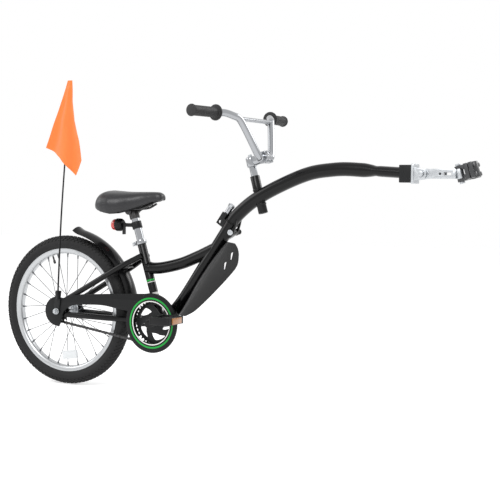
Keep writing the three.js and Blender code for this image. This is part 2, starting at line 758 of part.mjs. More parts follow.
const shellHalf = bracketShellWidth / 2;
const seamPlate = (radius, from, to) => barAlongX(radius, from, to, 0, hingeOffset);
const tongueOutline = () => outlineOf([
  ...arcPoints(0, 0, knuckleRadius, -Math.PI / 2, Math.PI / 3, 6),
  [seamDistance / 2, hingeOffset],
  [-tongueFoot, hingeOffset],
  [-tongueFoot, hingeOffset - downTubeRadius],
]);
const earOutline = (grow, top) => outlineOf([
  ...arcPoints(0, 0, knuckleRadius + grow, Math.PI / 2, (3 * Math.PI) / 2, 8),
  [top, -knuckleRadius - grow],
  [top, knuckleRadius + grow],
]);
const tongueHalf = tongueWidth / 2;
const earInner = tongueHalf + seatGap;
const earOuter = earInner + earThickness;
const seatBore = seatpostRadius + seatGap;
const frame = cut(
  join(
    fromBracket(postAlongZ(seatTubeRadius, 0, seatTubeLength, frameSides)),
    tubeAlong(topTubePath, topTubeRadius, frameSides, topTubeSteps),
    tubeAlong(downTubePath, downTubeRadius, frameSides, downTubeSteps),
    pinAlongY(bracketShellRadius, -shellHalf, shellHalf, bracketX, bracketHeight, frameSides),
    fromPivot(seamPlate(seamFlangeRadius, seamDistance - seamFlange - seamFace,
      seamDistance - seamFace)),
    fromPivot(plate(tongueOutline(), -tongueHalf, tongueHalf)),
  ),
  pinAlongY(bracketBoreRadius, -shellHalf - cutOver, shellHalf + cutOver, bracketX, bracketHeight),
  fromBracket(postAlongZ(seatBore, seatTubeLength - postDepth - postTravel,
    seatTubeLength + cutOver)),
  fromPivot(plate(earOutline(runGap, seamDistance + cutOver), earInner - seatGap, earOuter + cutOver)),
  fromPivot(plate(earOutline(runGap, seamDistance + cutOver), -earOuter - cutOver, seatGap - earInner)),
  fromPivot(pinAlongY(pivotRadius + seatGap, -earOuter, earOuter)),
);
piece('frame', frame, glossBlack, 0.25, 0.1);

// Stays with their dropout plates, one weldment to each side
const seatStayFoot = point(stayFootShares[0] * dropoutRadius, 0, axleHeight
  + stayFootShares[1] * dropoutRadius);
const seatStayHead = onSeatTube(seatStayTopHeight);
const seatStayHalf = fenderWidth / 2 + runGap + stayRadius;
const chainStayHalf = tyreSection / 2 + tyreGap + stayRadius;
const chainStayFoot = point(stayFootShares[0] * dropoutRadius, 0, axleHeight
  - stayFootShares[0] * dropoutRadius);
const chainStayHead = point(bracketX - bracketShellRadius / 2, 0, bracketHeight);
const between = (from, to, share, y) => {
  const place = from.clone().lerp(to, share);
  place.y = y;
  return place;
};
const seatStayPath = (side) => [
  dropoutHalfSpacing,
  dropoutHalfSpacing,
  (dropoutHalfSpacing + seatStayHalf) / 2,
  seatStayHalf,
  seatStayTopHalfSpacing,
].map((y, i) => between(seatStayFoot, seatStayHead, seatStayShares[i], side * y));
const chainStayPath = (side) => [
  dropoutHalfSpacing,
  dropoutHalfSpacing - stayFlatHalf,
  chainStayHalf,
  chainStayFrontHalfSpacing + stayFlatHalf,
  chainStayFrontHalfSpacing,
].map((y, i) => between(chainStayFoot, chainStayHead, chainStayShares[i], side * y));
const staySize = (path) => {
  const length = new THREE.CatmullRomCurve3(path, false, 'centripetal').getLength();
  const swell = (share) => THREE.MathUtils.smoothstep(share * length, stayFlatLength - stayRadius,
    stayFlatLength + 2 * stayRadius);
  return (share) => stayFlatHalf + (stayRadius - stayFlatHalf) * swell(share);
};
const stayTube = (path) => taperedTube(path, staySteps, tubeSides, staySize(path),
  () => stayRadius);
const dropoutOutline = () => outlineOf([
  ...arcPoints(0, 0, dropoutRadius, (3 / 4) * Math.PI, (7 / 4) * Math.PI, 8),
  [dropoutRadius + stayRadius, -stayRadius],
  [dropoutRadius + stayRadius, stayRadius],
  [dropoutRadius, dropoutHorn],
  [0, dropoutHorn],
]);
const shellTool = (grow) => pinAlongY(bracketShellRadius + grow, -shellHalf - cutOver,
  shellHalf + cutOver, bracketX, bracketHeight, frameSides);
const seatTubeTool = (grow) => fromBracket(postAlongZ(seatTubeRadius + grow, 0, seatTubeLength,
  frameSides));
[['stays_near', -1], ['stays_far', 1]].forEach(([name, side]) => {
  const inner = side * (dropoutHalfSpacing - dropoutThickness / 2);
  const outer = side * (dropoutHalfSpacing + dropoutThickness / 2);
  const [from, to] = [Math.min(inner, outer), Math.max(inner, outer)];
  piece(name, cut(
    join(
      stayTube(seatStayPath(side)),
      stayTube(chainStayPath(side)),
      plate(dropoutOutline(), from, to).translate(0, 0, axleHeight),
    ),
    seatTubeTool(seatGap),
    shellTool(seatGap),
    pinAlongY(axleRadius + seatGap, from - cutOver, to + cutOver, 0, axleHeight),
  ), glossBlack, 0.25, 0.1);
});

// Bridges between the stays: the upper one carries the fender's crown, the lower one its front end
const stayAt = (path, height) => new THREE.CatmullRomCurve3(path, false, 'centripetal')
  .getSpacedPoints(200)
  .reduce((best, place) => (Math.abs(Math.hypot(place.x, place.z - axleHeight) - height)
    < Math.abs(Math.hypot(best.x, best.z - axleHeight) - height) ? place : best));
const bridgeDistance = fenderRadius + seatGap + bridgeRadius;
const bridgeFor = (path, grow) => {
  const place = stayAt(path, bridgeDistance);
  const half = Math.abs(place.y) - grow;
  return pinAlongY(bridgeRadius, -half, half, place.x, place.z, tubeSides);
};
const upperBridge = bridgeFor(seatStayPath(1), 0);
const lowerBridge = bridgeFor(chainStayPath(1), 0);
const stayTools = [-1, 1].map((side) => [
  taperedTube(seatStayPath(side), staySteps, tubeSides,
    (share) => staySize(seatStayPath(side))(share) + seatGap,
    () => stayRadius + seatGap),
  taperedTube(chainStayPath(side), staySteps, tubeSides,
    (share) => staySize(chainStayPath(side))(share) + seatGap,
    () => stayRadius + seatGap),
]).flat();
piece('seat_stay_bridge', cut(upperBridge, stayTools[0], stayTools[2], seatTubeTool(seatGap)),
  glossBlack, 0.25, 0.1);
piece('chain_stay_bridge', cut(lowerBridge, stayTools[1], stayTools[3], seatTubeTool(seatGap)),
  glossBlack, 0.25, 0.1);

// Seat collar with its two ears and bolt behind the tube
const collarFoot = seatTubeLength - collarHeight;
const earReach = collarRadius + collarEarLength;
piece('seat_collar', cut(
  join(
    fromBracket(postAlongZ(collarRadius, collarFoot, seatTubeLength, frameSides)),
    fromBracket(block(earReach, collarEarWidth, collarHeight, -earReach / 2, 0,
      collarFoot + collarHeight / 2)),
  ),
  fromBracket(postAlongZ(seatTubeRadius + seatGap, collarFoot - cutOver, seatTubeLength + cutOver,
    frameSides)),
  fromBracket(block(earReach, collarSlit, collarHeight + cutOver, -collarRadius / 2 - earReach / 2, 0,
    collarFoot + collarHeight / 2)),
  fromBracket(pinAlongY(collarBoltRadius + seatGap, -collarEarWidth, collarEarWidth,
    -collarRadius - collarEarLength / 2, collarFoot + collarHeight / 2, smallSides)),
), chromeGrey, 0.2, 1);
const collarHead = collarEarWidth / 2 + seatGap;
piece('collar_bolt', join(
  fromBracket(pinAlongY(collarBoltRadius, -collarHead - collarBoltRadius, collarHead + collarBoltRadius,
    -collarRadius - collarEarLength / 2, collarFoot + collarHeight / 2, smallSides)),
  fromBracket(pinAlongY(2 * collarBoltRadius, -collarHead - collarBoltRadius, -collarHead,
    -collarRadius - collarEarLength / 2, collarFoot + collarHeight / 2, smallSides)),
  fromBracket(pinAlongY(2 * collarBoltRadius, collarHead, collarHead + collarBoltRadius,
    -collarRadius - collarEarLength / 2, collarFoot + collarHeight / 2, 6)),
), silver, 0.3, 1);

// Tow arm with its head tube, hinge block and ears, one weldment
const armFoot = onTube(seamDistance + seamFlange, 0);
const armTip = onTube(seamDistance, 0).add(point(armReach, 0, armRise));
const armPath = armShares.map(([x, z]) => point(
  armFoot.x + x * (armTip.x - armFoot.x),
  0,
  armFoot.z + z * (armTip.z - armFoot.z),
));
const armCurve = new THREE.CatmullRomCurve3(armPath, false, 'centripetal');
const armLength = armCurve.getLength();
const armHalfHeight = (share) => {
  const flat = THREE.MathUtils.smoothstep(share * armLength, armLength - armFlatLength - armRadius,
    armLength - armFlatLength + armRadius);
  return armRadius + (armFlatHeight / 2 - armRadius) * flat;
};
const headCentre = armCurve.getSpacedPoints(200)
  .reduce((best, place) => (Math.abs(place.x - headTubeX) < Math.abs(best.x - headTubeX)
    ? place : best));
const fromHead = (geometry) => geometry
  .rotateY(headAngle - Math.PI / 2)
  .translate(headTubeX, 0, headCentre.z);
const hingeBlock = () => outlineOf([
  [seamDistance + seamFace, -knuckleRadius],
  [seamDistance + seamFace + hingeBlockLength, -knuckleRadius / 2],
  [seamDistance + seamFace + hingeBlockLength, hingeOffset],
  [seamDistance + seamFace, hingeOffset],
]);
piece('tow_arm', cut(
  join(
    taperedTube(armPath, armSteps, frameSides, () => armRadius, armHalfHeight),
    fromPivot(seamPlate(seamFlangeRadius, seamDistance + seamFace,
      seamDistance + seamFace + seamFlange)),
    fromPivot(plate(hingeBlock(), -earOuter, earOuter)),
    fromPivot(plate(earOutline(0, seamDistance + hingeBlockLength), earInner, earOuter)),
    fromPivot(plate(earOutline(0, seamDistance + hingeBlockLength), -earOuter, -earInner)),
    fromHead(postAlongZ(headTubeRadius, -headTubeBelow, headTubeAbove)),
  ),
  fromHead(postAlongZ(headTubeBore, -headTubeBelow - cutOver, headTubeAbove + cutOver, frameSides)),
  block(cutOver, 3 * armRadius, 3 * armRadius, armTip.x + cutOver / 2, 0, armTip.z),
  fromPivot(pinAlongY(pivotRadius + seatGap, -earOuter - cutOver, earOuter + cutOver, 0, 0)),
), glossBlack, 0.25, 0.1);

// Pivot bolt with its near head, and the round knob on its far end
const boltFar = earOuter + knobLength / 2;
piece('fold_bolt', join(
  fromPivot(pinAlongY(pivotRadius, -earOuter - seatGap, boltFar, 0, 0, tubeSides)),
  fromPivot(pinAlongY(pivotHeadRadius, -earOuter - seatGap - pivotHeadThickness,
    -earOuter - seatGap, 0, 0)),
), silver, 0.3, 1);
piece('fold_knob', cut(
  join(
    fromPivot(pinAlongY(knobRadius, earOuter + seatGap, earOuter + seatGap + knobLength, 0, 0)),
    fromPivot(pinAlongY(knobFlangeRadius, earOuter + seatGap + knobLength,
      earOuter + seatGap + knobLength + knobFlangeThickness, 0, 0)),
  ),
  fromPivot(pinAlongY(pivotRadius + seatGap, earOuter - cutOver, boltFar + seatGap, 0, 0, tubeSides)),
), rubberBlack, 0.5, 0);

// Latch: sleeve on the arm, lug with two cheeks on the frame, bolt with a star nut through both
const latchHeight = hingeOffset + armRadius + latchSleeveRadius + seatGap;
const sleeveFoot = seamDistance + seatGap;
const sleeveTop = sleeveFoot + latchSleeveLength;
piece('latch_sleeve', cut(
  fromPivot(barAlongX(latchSleeveRadius, sleeveFoot + seamFlange, sleeveTop, 0, latchHeight)),
  fromPivot(barAlongX(latchBoltRadius + seatGap, sleeveFoot - cutOver, sleeveTop + cutOver, 0,
    latchHeight, tubeSides)),
  fromPivot(barAlongX(seamFlangeRadius + seatGap, sleeveFoot - cutOver,
    seamDistance + seamFace + seamFlange + seatGap, 0, hingeOffset)),
  taperedTube(armPath, armSteps, frameSides, () => armRadius + seatGap,
    (share) => armHalfHeight(share) + seatGap),
), silver, 0.3, 0.9);

const lugFace = seamDistance - seamFace;
const lugTop = latchHeight + latchSleeveRadius;
const lugFoot = hingeOffset + seamFlangeRadius + seatGap;
const cheekInner = latchSleeveRadius + cheekGap;
const cheekOuter = cheekInner + cheekThickness;
const cheekRear = seamDistance - cheekLength / 2 - lugThickness;
piece('latch_bracket', cut(
  join(
    fromPivot(block(lugThickness, 2 * cheekOuter, lugTop - lugFoot,
      lugFace - lugThickness / 2, 0, (lugTop + lugFoot) / 2)),
    fromPivot(block(lugFace - seamFlange - seatGap - cheekRear, 2 * cheekOuter, lugTop - hingeOffset,
      (lugFace - seamFlange - seatGap + cheekRear) / 2, 0, (lugTop + hingeOffset) / 2)),
    fromPivot(block(cheekLength, 2 * cheekOuter, lugTop - lugFoot,
      cheekRear + cheekLength / 2, 0, (lugTop + lugFoot) / 2)),
  ),
  fromPivot(block(cheekLength, 2 * cheekInner, lugTop, lugFace + cheekLength / 2, 0,
    lugFoot + lugTop / 2 - seatGap)),
  fromPivot(block(lugFace - lugThickness - cheekRear, 2 * cheekInner, lugTop,
    (lugFace - lugThickness + cheekRear) / 2 - seatGap, 0, lugFoot + lugTop / 2 + lugThickness / 2)),
  tubeAlong(downTubePath, downTubeRadius + seatGap, frameSides, downTubeSteps),
  fromPivot(barAlongX(latchBoltRadius + latchHoleGap, cheekRear - cutOver, seamDistance + cutOver, 0,
    latchHeight, tubeSides)),
  fromPivot(pinAlongY(latchBoltRadius, -cheekOuter - cutOver, cheekOuter + cutOver,
    cheekRear + 2 * latchBoltRadius, latchHeight, tubeSides)),
), satinGrey, 0.4, 0.3);

const starOutline = outlineOf(Array.from({ length: 4 * starPoints }, (_, i) => {
  const radius = i % 4 < 2 ? starRadius : starRadius - latchBoltRadius / 2;
  const turn = (2 * Math.PI * i) / (4 * starPoints);
  return [radius * Math.cos(turn), radius * Math.sin(turn)];
}));
const star = new THREE.ExtrudeGeometry(starOutline, { depth: starThickness, bevelEnabled: false })
  .rotateY(Math.PI / 2)
  .translate(sleeveTop + seatGap, 0, latchHeight);
const latchTip = seamDistance - latchTipLength;
piece('latch_bolt', join(
  fromPivot(barAlongX(latchBoltRadius, seamDistance, sleeveTop + starThickness, 0, latchHeight,
    tubeSides)),
  rod(onTube(latchTip, latchHeight - hingeOffset), onTube(seamDistance, latchHeight - hingeOffset),
    latchBoltRadius / 2, tubeSides, latchBoltRadius),
  fromPivot(star),
), silver, 0.3, 1);

// Hitch: collar and yoke on the arm, knuckle and tongue between the two hinges, seatpost clamp
const roundedBox = (length, width, height, radius, x, z) => {
  const [w, h] = [width / 2, height / 2];
  const outline = outlineOf([
    ...arcPoints(w - radius, h - radius, radius, 0, Math.PI / 2, 3),
    ...arcPoints(radius - w, h - radius, radius, Math.PI / 2, Math.PI, 3),
    ...arcPoints(radius - w, radius - h, radius, Math.PI, Math.PI * 1.5, 3),
    ...arcPoints(w - radius, radius - h, radius, Math.PI * 1.5, Math.PI * 2, 3),
  ]);
  return new THREE.ExtrudeGeometry(outline, { depth: length, bevelEnabled: false })
    .rotateX(Math.PI / 2)
    .rotateZ(Math.PI / 2)
    .translate(x, 0, z);
};
const collarRear = armTip.x + seatGap;
const collarFront = collarRear + collarLength;
const hitchHeight = armTip.z - hitchDrop;
piece('arm_collar', roundedBox(collarLength, collarBlockWidth, collarBlockHeight, seamFlange,
  collarRear, hitchHeight), satinGrey, 0.45, 0.2);
const pitchX = collarFront + pitchReach;
const yokeRear = collarFront + seatGap;
const yokeInner = knuckleWidth / 2 + seatGap;
const yokeOuter = yokeInner + yokeEarThickness;
const yokeEar = () => outlineOf([
  ...arcPoints(pitchX, hitchHeight, pitchBossRadius, -Math.PI / 2, Math.PI / 2, 10),
  [yokeRear, hitchHeight + pitchBossRadius + yokeThickness / 2],
  [yokeRear, hitchHeight - pitchBossRadius - yokeThickness / 2],
]);
piece('yoke', cut(
  join(
    roundedBox(yokeThickness, yokeWidth, yokeHeight, yokeThickness / 2, yokeRear, hitchHeight),
    plate(yokeEar(), yokeInner, yokeOuter),
    plate(yokeEar(), -yokeOuter, -yokeInner),
  ),
  pinAlongY(pitchBoltRadius + 2 * seatGap, -yokeOuter - cutOver, yokeOuter + cutOver, pitchX,
    hitchHeight, frameSides),
), silver, 0.3, 0.9);
const pitchHead = yokeOuter + seatGap;
piece('pitch_bolt', join(
  pinAlongY(pitchBoltRadius, -pitchHead, pitchHead, pitchX, hitchHeight, tubeSides),
  pinAlongY(pitchHeadRadius, -pitchHead - pitchHeadThickness, -pitchHead, pitchX, hitchHeight, 6),
  pinAlongY(pitchHeadRadius, pitchHead, pitchHead + pitchHeadThickness, pitchX, hitchHeight, 6),
), silver, 0.3, 1);

const swivelX = pitchX + swivelReach;
const fromSwivel = (geometry) => geometry
  .rotateY(postLean - Math.PI / 2)
  .translate(swivelX, 0, hitchHeight);
const tongueHalfHeight = tongueHeight / 2;
const knuckleEnd = pitchX + tongueNose;
const barrelRadius = swivelBossRadius - seatGap;
const innerHeight = tongueHeight - 2 * tongueWall;
const innerBreadth = tongueBreadth - 2 * tongueWall;
const innerFrom = knuckleEnd + tongueWall;
const tongueEnd = swivelX - barrelRadius + tongueWall;
const innerTo = swivelX - barrelRadius - tongueWall;
piece('tongue', cut(
  join(
    pinAlongY(tongueHalfHeight, -knuckleWidth / 2, knuckleWidth / 2, pitchX, hitchHeight),
    block(tongueNose, knuckleWidth, tongueHeight, pitchX + tongueNose / 2, 0, hitchHeight),
    block(tongueEnd - knuckleEnd, tongueBreadth, tongueHeight, (tongueEnd + knuckleEnd) / 2, 0,
      hitchHeight),
    fromSwivel(postAlongZ(barrelRadius, -tongueHalfHeight, tongueHalfHeight)),
  ),
  block(innerTo - innerFrom, innerBreadth, innerHeight, (innerTo + innerFrom) / 2, 0, hitchHeight),
  pinAlongY(pitchBoltRadius + seatGap, -knuckleWidth, knuckleWidth, pitchX, hitchHeight, tubeSides),
  fromSwivel(postAlongZ(swivelPinRadius + 2 * seatGap, -tongueHeight, tongueHeight, frameSides)),
  fromSwivel(postAlongZ(swivelBossRadius + 2 * runGap, tongueHalfHeight, 2 * tongueHeight)),
  fromSwivel(postAlongZ(swivelBossRadius + 2 * runGap, -2 * tongueHeight, -tongueHalfHeight)),
  pinAlongY(tongueHoleRadius, -tongueBreadth, tongueBreadth, innerFrom + tongueSlotLength,
    hitchHeight, tubeSides),
  block(tongueSlotLength, 2 * tongueBreadth, tongueSlotWidth,
    innerFrom + 2 * tongueSlotLength, 0, hitchHeight),
), silver, 0.3, 0.9);

const earLift = tongueHalfHeight + seatGap;
const earTop = earLift + swivelEarThickness;
const clampOuter = postRadius + clampWall;
const raised = (outline, from, to) => new THREE.ExtrudeGeometry(
  outline,
  { depth: to - from, bevelEnabled: false },
).translate(0, 0, from);
const clampHalf = (sign) => outlineOf([
  [clampBehind + sign * clampSlit / 2, -clampWingWidth],
  [clampBehind + sign * (clampSlit / 2 + clampWingThickness), -clampWingWidth],
  ...arcPoints(clampBehind, 0, clampOuter, sign > 0 ? -Math.PI / 3 : -Math.PI * (2 / 3),
    sign > 0 ? Math.PI / 3 : -Math.PI * (4 / 3), 8),
  [clampBehind + sign * (clampSlit / 2 + clampWingThickness), clampWingWidth],
  [clampBehind + sign * clampSlit / 2, clampWingWidth],
]);
const swivelEar = () => outlineOf([
  ...arcPoints(0, 0, swivelBossRadius, Math.PI / 2, (3 * Math.PI) / 2, smallSides),
  [clampBehind - postRadius, -swivelBossRadius],
  [clampBehind - postRadius, swivelBossRadius],
]);
const postTool = fromSwivel(postAlongZ(postRadius, -earTop - cutOver, earTop + cutOver, boreSides)
  .translate(clampBehind, 0, 0));
const clampBolts = [[1, 1], [-1, 1], [1, -1], [-1, -1]].map(([side, lift]) => [
  side * (clampWingWidth - clampHeadRadius),
  lift * clampBoltLift,
]);
const boltTools = clampBolts.map(([y, z]) => fromSwivel(barAlongX(clampBoltRadius + seatGap,
  clampBehind - clampOuter, clampBehind + clampOuter, y, z, smallSides)));
const rearHeadTool = clampBolts.map(([y, z]) => fromSwivel(barAlongX(clampHeadRadius + seatGap,
  clampBehind - clampOuter - cutOver, clampBehind - clampSlit / 2 - clampWingThickness, y, z,
  smallSides)));
piece('clamp_body', cut(
  join(
    fromSwivel(raised(clampHalf(-1), -earTop, earTop)),
    fromSwivel(raised(swivelEar(), earLift, earTop)),
    fromSwivel(raised(swivelEar(), -earTop, -earLift)),
  ),
  postTool,
  fromSwivel(postAlongZ(swivelPinRadius + seatGap, -2 * earTop, 2 * earTop, tubeSides)),
  ...boltTools,
  ...rearHeadTool,
), satinGrey, 0.4, 0.4);
const boltFace = clampSlit / 2 + clampWingThickness;
piece('clamp_cap', join(
  cut(fromSwivel(raised(clampHalf(1), -earTop, earTop)), postTool),
  ...clampBolts.map(([y, z]) => fromSwivel(revolve([
    [0, -boltFace - seatGap - clampHeadThickness],
    [clampHeadRadius, -boltFace - seatGap - clampHeadThickness],
    [clampHeadRadius, -boltFace - seatGap],
    [clampBoltRadius, -boltFace - seatGap],
    [clampBoltRadius, boltFace - seatGap],
    [clampHeadRadius, boltFace - seatGap],
    [clampHeadRadius, boltFace + clampHeadThickness],
    [0, boltFace + clampHeadThickness],
  ], 6).rotateZ(-Math.PI / 2).translate(clampBehind, y, z))),
), steelGrey, 0.4, 0.5);
piece('swivel_pin', join(
  fromSwivel(postAlongZ(swivelPinRadius, -earTop - seatGap, earTop + seatGap, tubeSides)),
  fromSwivel(postAlongZ(swivelHeadRadius, earTop + seatGap, earTop + seatGap + swivelHeadThickness,
    6)),
  fromSwivel(postAlongZ(swivelHeadRadius, -earTop - seatGap - swivelHeadThickness,
    -earTop - seatGap, 6)),
), silver, 0.3, 1);

// Steering: stem on its expander bolt, bar with a cross bar, two grips
const steering = new THREE.Group();
steering.position.set(headTubeX, 0, headCentre.z);
steering.rotation.y = headAngle - Math.PI / 2;
layout.add(steering);
const quillFoot = stemRise - stemNeckRadius - quillLength;
const wedgeFoot = quillFoot - wedgeLength;
piece('stem_bolt', join(
  postAlongZ(stemBoltRadius, wedgeFoot, stemRise + seatGap, smallSides),
  postAlongZ(stemBoltHeadRadius, stemRise + seatGap, stemRise + seatGap + stemBoltHeadThickness, 6),
  cut(postAlongZ(quillRadius - seatGap, wedgeFoot, quillFoot - seatGap)),
), silver, 0.3, 1, steering);
piece('stem', cut(
  join(
    postAlongZ(quillRadius, quillFoot, barClampLift),
    postAlongZ(stemNeckRadius, barClampLift - stemNeckRadius, stemRise),
    loft([0, 1].map((share) => Array.from({ length: tubeSides }, (_, k) => {
      const turn = (2 * Math.PI * k) / tubeSides;
      return point(share * barClampForward, stemNeckRadius * Math.cos(turn),
        barClampLift + stemNeckRadius * Math.sin(turn));
    }))),
    pinAlongY(barClampRadius, -barClampWidth / 2, barClampWidth / 2, barClampForward, barClampLift),
  ),
  postAlongZ(stemBoreRadius, quillFoot - cutOver, stemRise + cutOver, smallSides),
  pinAlongY(barRadius + seatGap, -barClampWidth, barClampWidth, barClampForward, barClampLift, boreSides),
  block(2 * barClampRadius, 2 * barClampWidth, clampSlit, barClampForward + barClampRadius, 0,
    barClampLift - barClampRadius / 2),
), chromeGrey, 0.15, 1, steering);

const bars = new THREE.Group();
bars.position.set(barClampForward, 0, barClampLift);
bars.rotation.y = Math.PI / 2 - headAngle;
steering.add(bars);
const barMiddle = [-barMiddleShare, 0, barMiddleShare].map((share) => point(0, share * barCentreLength, 0));
const barBendWidth = barHalfWidth - gripLength - barStraightLead - barCentreLength;
const barPath = [
  ...barShares.map(([y, back, rise]) => point(
    -back * barBack,
    barCentreLength + y * barBendWidth,
    rise * barRise,
  )),
  point(-barBack, barHalfWidth, barRise),
];
const gripFrom = barPath[barPath.length - 2];
const barEnd = barPath[barPath.length - 1];
barPath.splice(-1, 0, ...barEndShares.map((share) => gripFrom.clone().lerp(barEnd, share)));
const fullPath = [
  ...barPath.slice().reverse().map((place) => point(place.x, -place.y, place.z)),
  ...barMiddle,
  ...barPath,
];
const crossPlace = barPath[1].clone().lerp(barPath[2], crossBarRiseShare);
piece('handlebar', join(
  tubeAlong(fullPath, barRadius, tubeSides, barSteps),
  pinAlongY(crossBarRadius, -crossPlace.y, crossPlace.y, crossPlace.x, crossPlace.z, smallSides),
), chromeGrey, 0.15, 1, bars);
const gripBore = barRadius + 4 * seatGap;
const gripBack = gripFrom.clone().sub(barEnd).normalize();
[['grip_right', -1], ['grip_left', 1]].forEach(([name, side]) => {
  const turn = new THREE.Quaternion()
    .setFromUnitVectors(point(0, 1, 0), point(gripBack.x, side * gripBack.y, gripBack.z));
  piece(name, revolve([
    [0, -gripCapThickness],
    [gripCapRadius, -gripCapThickness],
    [gripCapRadius, 0],
    [gripRadius, 0],
    [gripRadius, gripLength - gripFlangeThickness],
    [gripFlangeRadius, gripLength - gripFlangeThickness],
    [gripFlangeRadius, gripLength],
    [gripBore, gripLength],
    [gripBore, -seatGap],
    [0, -seatGap],
  ], tubeSides)
    .applyQuaternion(turn)
    .translate(barEnd.x, side * barEnd.y, barEnd.z), gripBlack, 0.9, 0, bars);
});

// Seat: post, clamp, rails, shell and cushion
const postTop = (postTopHeight - bracketHeight) / Math.sin(seatTubeAngle);
const postFoot = seatTubeLength - postDepth;
const clampPlace = onSeatTube(postTopHeight);
const clampCentre = point(clampPlace.x, 0, postTopHeight - saddleBarrelRadius);
piece('seatpost', fromBracket(postAlongZ(seatpostRadius, postFoot, postTop - 2 * saddleBarrelRadius)),
  chromeGrey, 0.15, 1);
const barrelHalf = railHalfSpacing - railRadius - seatGap;
const sleeveOuter = seatpostRadius + seatGap + lightBandWall;
piece('seat_clamp', cut(
  join(
    fromBracket(postAlongZ(sleeveOuter, postTop - 2 * saddleBarrelRadius - clampBandHeight,
      postTop - saddleBarrelRadius, tubeSides)),
    pinAlongY(saddleBarrelRadius, -barrelHalf, barrelHalf, clampCentre.x, clampCentre.z, tubeSides),
  ),
  fromBracket(postAlongZ(seatpostRadius + seatGap, 0, postTop - 2 * saddleBarrelRadius + seatGap)),
  pinAlongY(saddleBoltRadius + 3 * seatGap, -2 * barrelHalf, 2 * barrelHalf, clampCentre.x,
    clampCentre.z, smallSides),
), satinGrey, 0.4, 0.7);
const washerFace = railHalfSpacing + railRadius + seatGap;
const washerOuter = washerFace + saddleWasherThickness;
piece('saddle_bolt', join(
  pinAlongY(saddleBoltRadius, -washerOuter, washerOuter, clampCentre.x, clampCentre.z, smallSides),
  pinAlongY(saddleBarrelRadius, -washerOuter, -washerFace, clampCentre.x, clampCentre.z, tubeSides),
  pinAlongY(saddleBarrelRadius, washerFace, washerOuter, clampCentre.x, clampCentre.z, tubeSides),
  pinAlongY(saddleNutRadius, -washerOuter - saddleNutThickness, -washerOuter, clampCentre.x,
    clampCentre.z, 6),
  pinAlongY(saddleNutRadius, washerOuter, washerOuter + saddleNutThickness, clampCentre.x,
    clampCentre.z, 6),
), steelGrey, 0.3, 1);

const sections = [
  ...saddleSectionShares.slice(1).reverse().map(([y, drop]) => [-y, drop]),
  ...saddleSectionShares,
];
const saddleGrid = (depth, across = sections) => saddleStations.map((station, i) => {
  const half = Math.max((saddleWidth / 2) * saddleWidthShares[i] - depth, seatGap);
  const skirt = saddleTopHeight - saddleSkirt * saddleSkirtShares[i];
  const rise = saddleRiseShares[i] * (saddleTopHeight - skirt);
  const x = saddleRear + depth + (saddleLength - 2 * depth) * station;
  return across.map(([y, drop]) => point(
    x,
    y * half,
    skirt + (rise - Math.min(depth, rise * saddleThinShare)) * (1 - drop),
  ));
});
piece('saddle', skin(saddleGrid(0), saddleGrid(cushionDepth)), rubberBlack, 0.75, 0);
const shellSections = sections.filter((_, i) => i % 2 === 0);
const shellGrid = (depth) => saddleGrid(depth, shellSections)
  .map((row) => row.map((place) => place.add(point(0, 0, -2 * seatGap))));
piece('saddle_shell', skin(
  shellGrid(cushionDepth + seatGap),
  shellGrid(cushionDepth + seatGap + shellThickness),
), satinGrey, 0.6, 0);

const railHeight = clampCentre.z + saddleBoltRadius + railRadius + seatGap;
const noseRailHeight = saddleTopHeight - saddleSkirt * saddleSkirtShares[8] - railRadius - 2 * seatGap;
const railSide = (side) => [
  point(saddleRear + saddleLength * railShares[0][0], side * railHalfSpacing * railShares[0][1],
    saddleTopHeight - cushionDepth - shellThickness - railTuck),
  ...railShares.slice(1).map(([x, y, lift]) => point(saddleRear + saddleLength * x,
    side * railHalfSpacing * y, railHeight + lift * (noseRailHeight - railHeight))),
];
piece('saddle_rails', tubeAlong([...railSide(-1), ...railSide(1).reverse()], railRadius, 5, 20),
  steelGrey, 0.3, 0.9);

// Tail light on the post
const lightPlace = onSeatTube(lightHeight);
const lightFront = lightPlace.x - lightReach;
const lightMid = lightFront + lightLensThickness + seatGap;
const lightStraight = lightMid + lightLength * lightStraightShare;
const lightEnd = lightMid + lightLength;
const lightAlong = (lightHeight - bracketHeight) / Math.sin(seatTubeAngle);
piece('light_lens', join(
  barAlongX(lightLensRadius, lightFront + lightLensThickness / 2, lightFront + lightLensThickness, 0,
    lightHeight),
  rod(point(lightFront + lightLensThickness / 2, 0, lightHeight), point(lightFront, 0, lightHeight),
    lightLensRadius, roundSides, lightLensRadius * lightTaperShare),
), lensRed, 0.2, 0);
piece('light_housing', join(
  barAlongX(lightRadius, lightMid, lightStraight, 0, lightHeight),
  rod(point(lightStraight, 0, lightHeight), point(lightEnd, 0, lightHeight),
    lightRadius, roundSides, lightRadius * lightTaperShare),
), rubberBlack, 0.5, 0);
const bandOuter = seatpostRadius + seatGap + lightBandWall;
piece('light_bracket', cut(
  join(
    fromBracket(postAlongZ(bandOuter, lightAlong - lightBandHeight / 2,
      lightAlong + lightBandHeight / 2)),
    block(lightPlace.x - lightEnd - seatGap, lightBracketThickness, lightBracketThickness,
      (lightPlace.x + lightEnd + seatGap) / 2, 0, lightHeight),
    block(lightBracketThickness / 2, lightBracketThickness, lightTabLength,
      lightEnd + seatGap + lightBracketThickness / 4, 0, lightHeight - lightTabDrop),
  ),
  fromBracket(postAlongZ(seatpostRadius + seatGap, lightAlong - lightBandHeight,
    lightAlong + lightBandHeight)),
), rubberBlack, 0.5, 0);

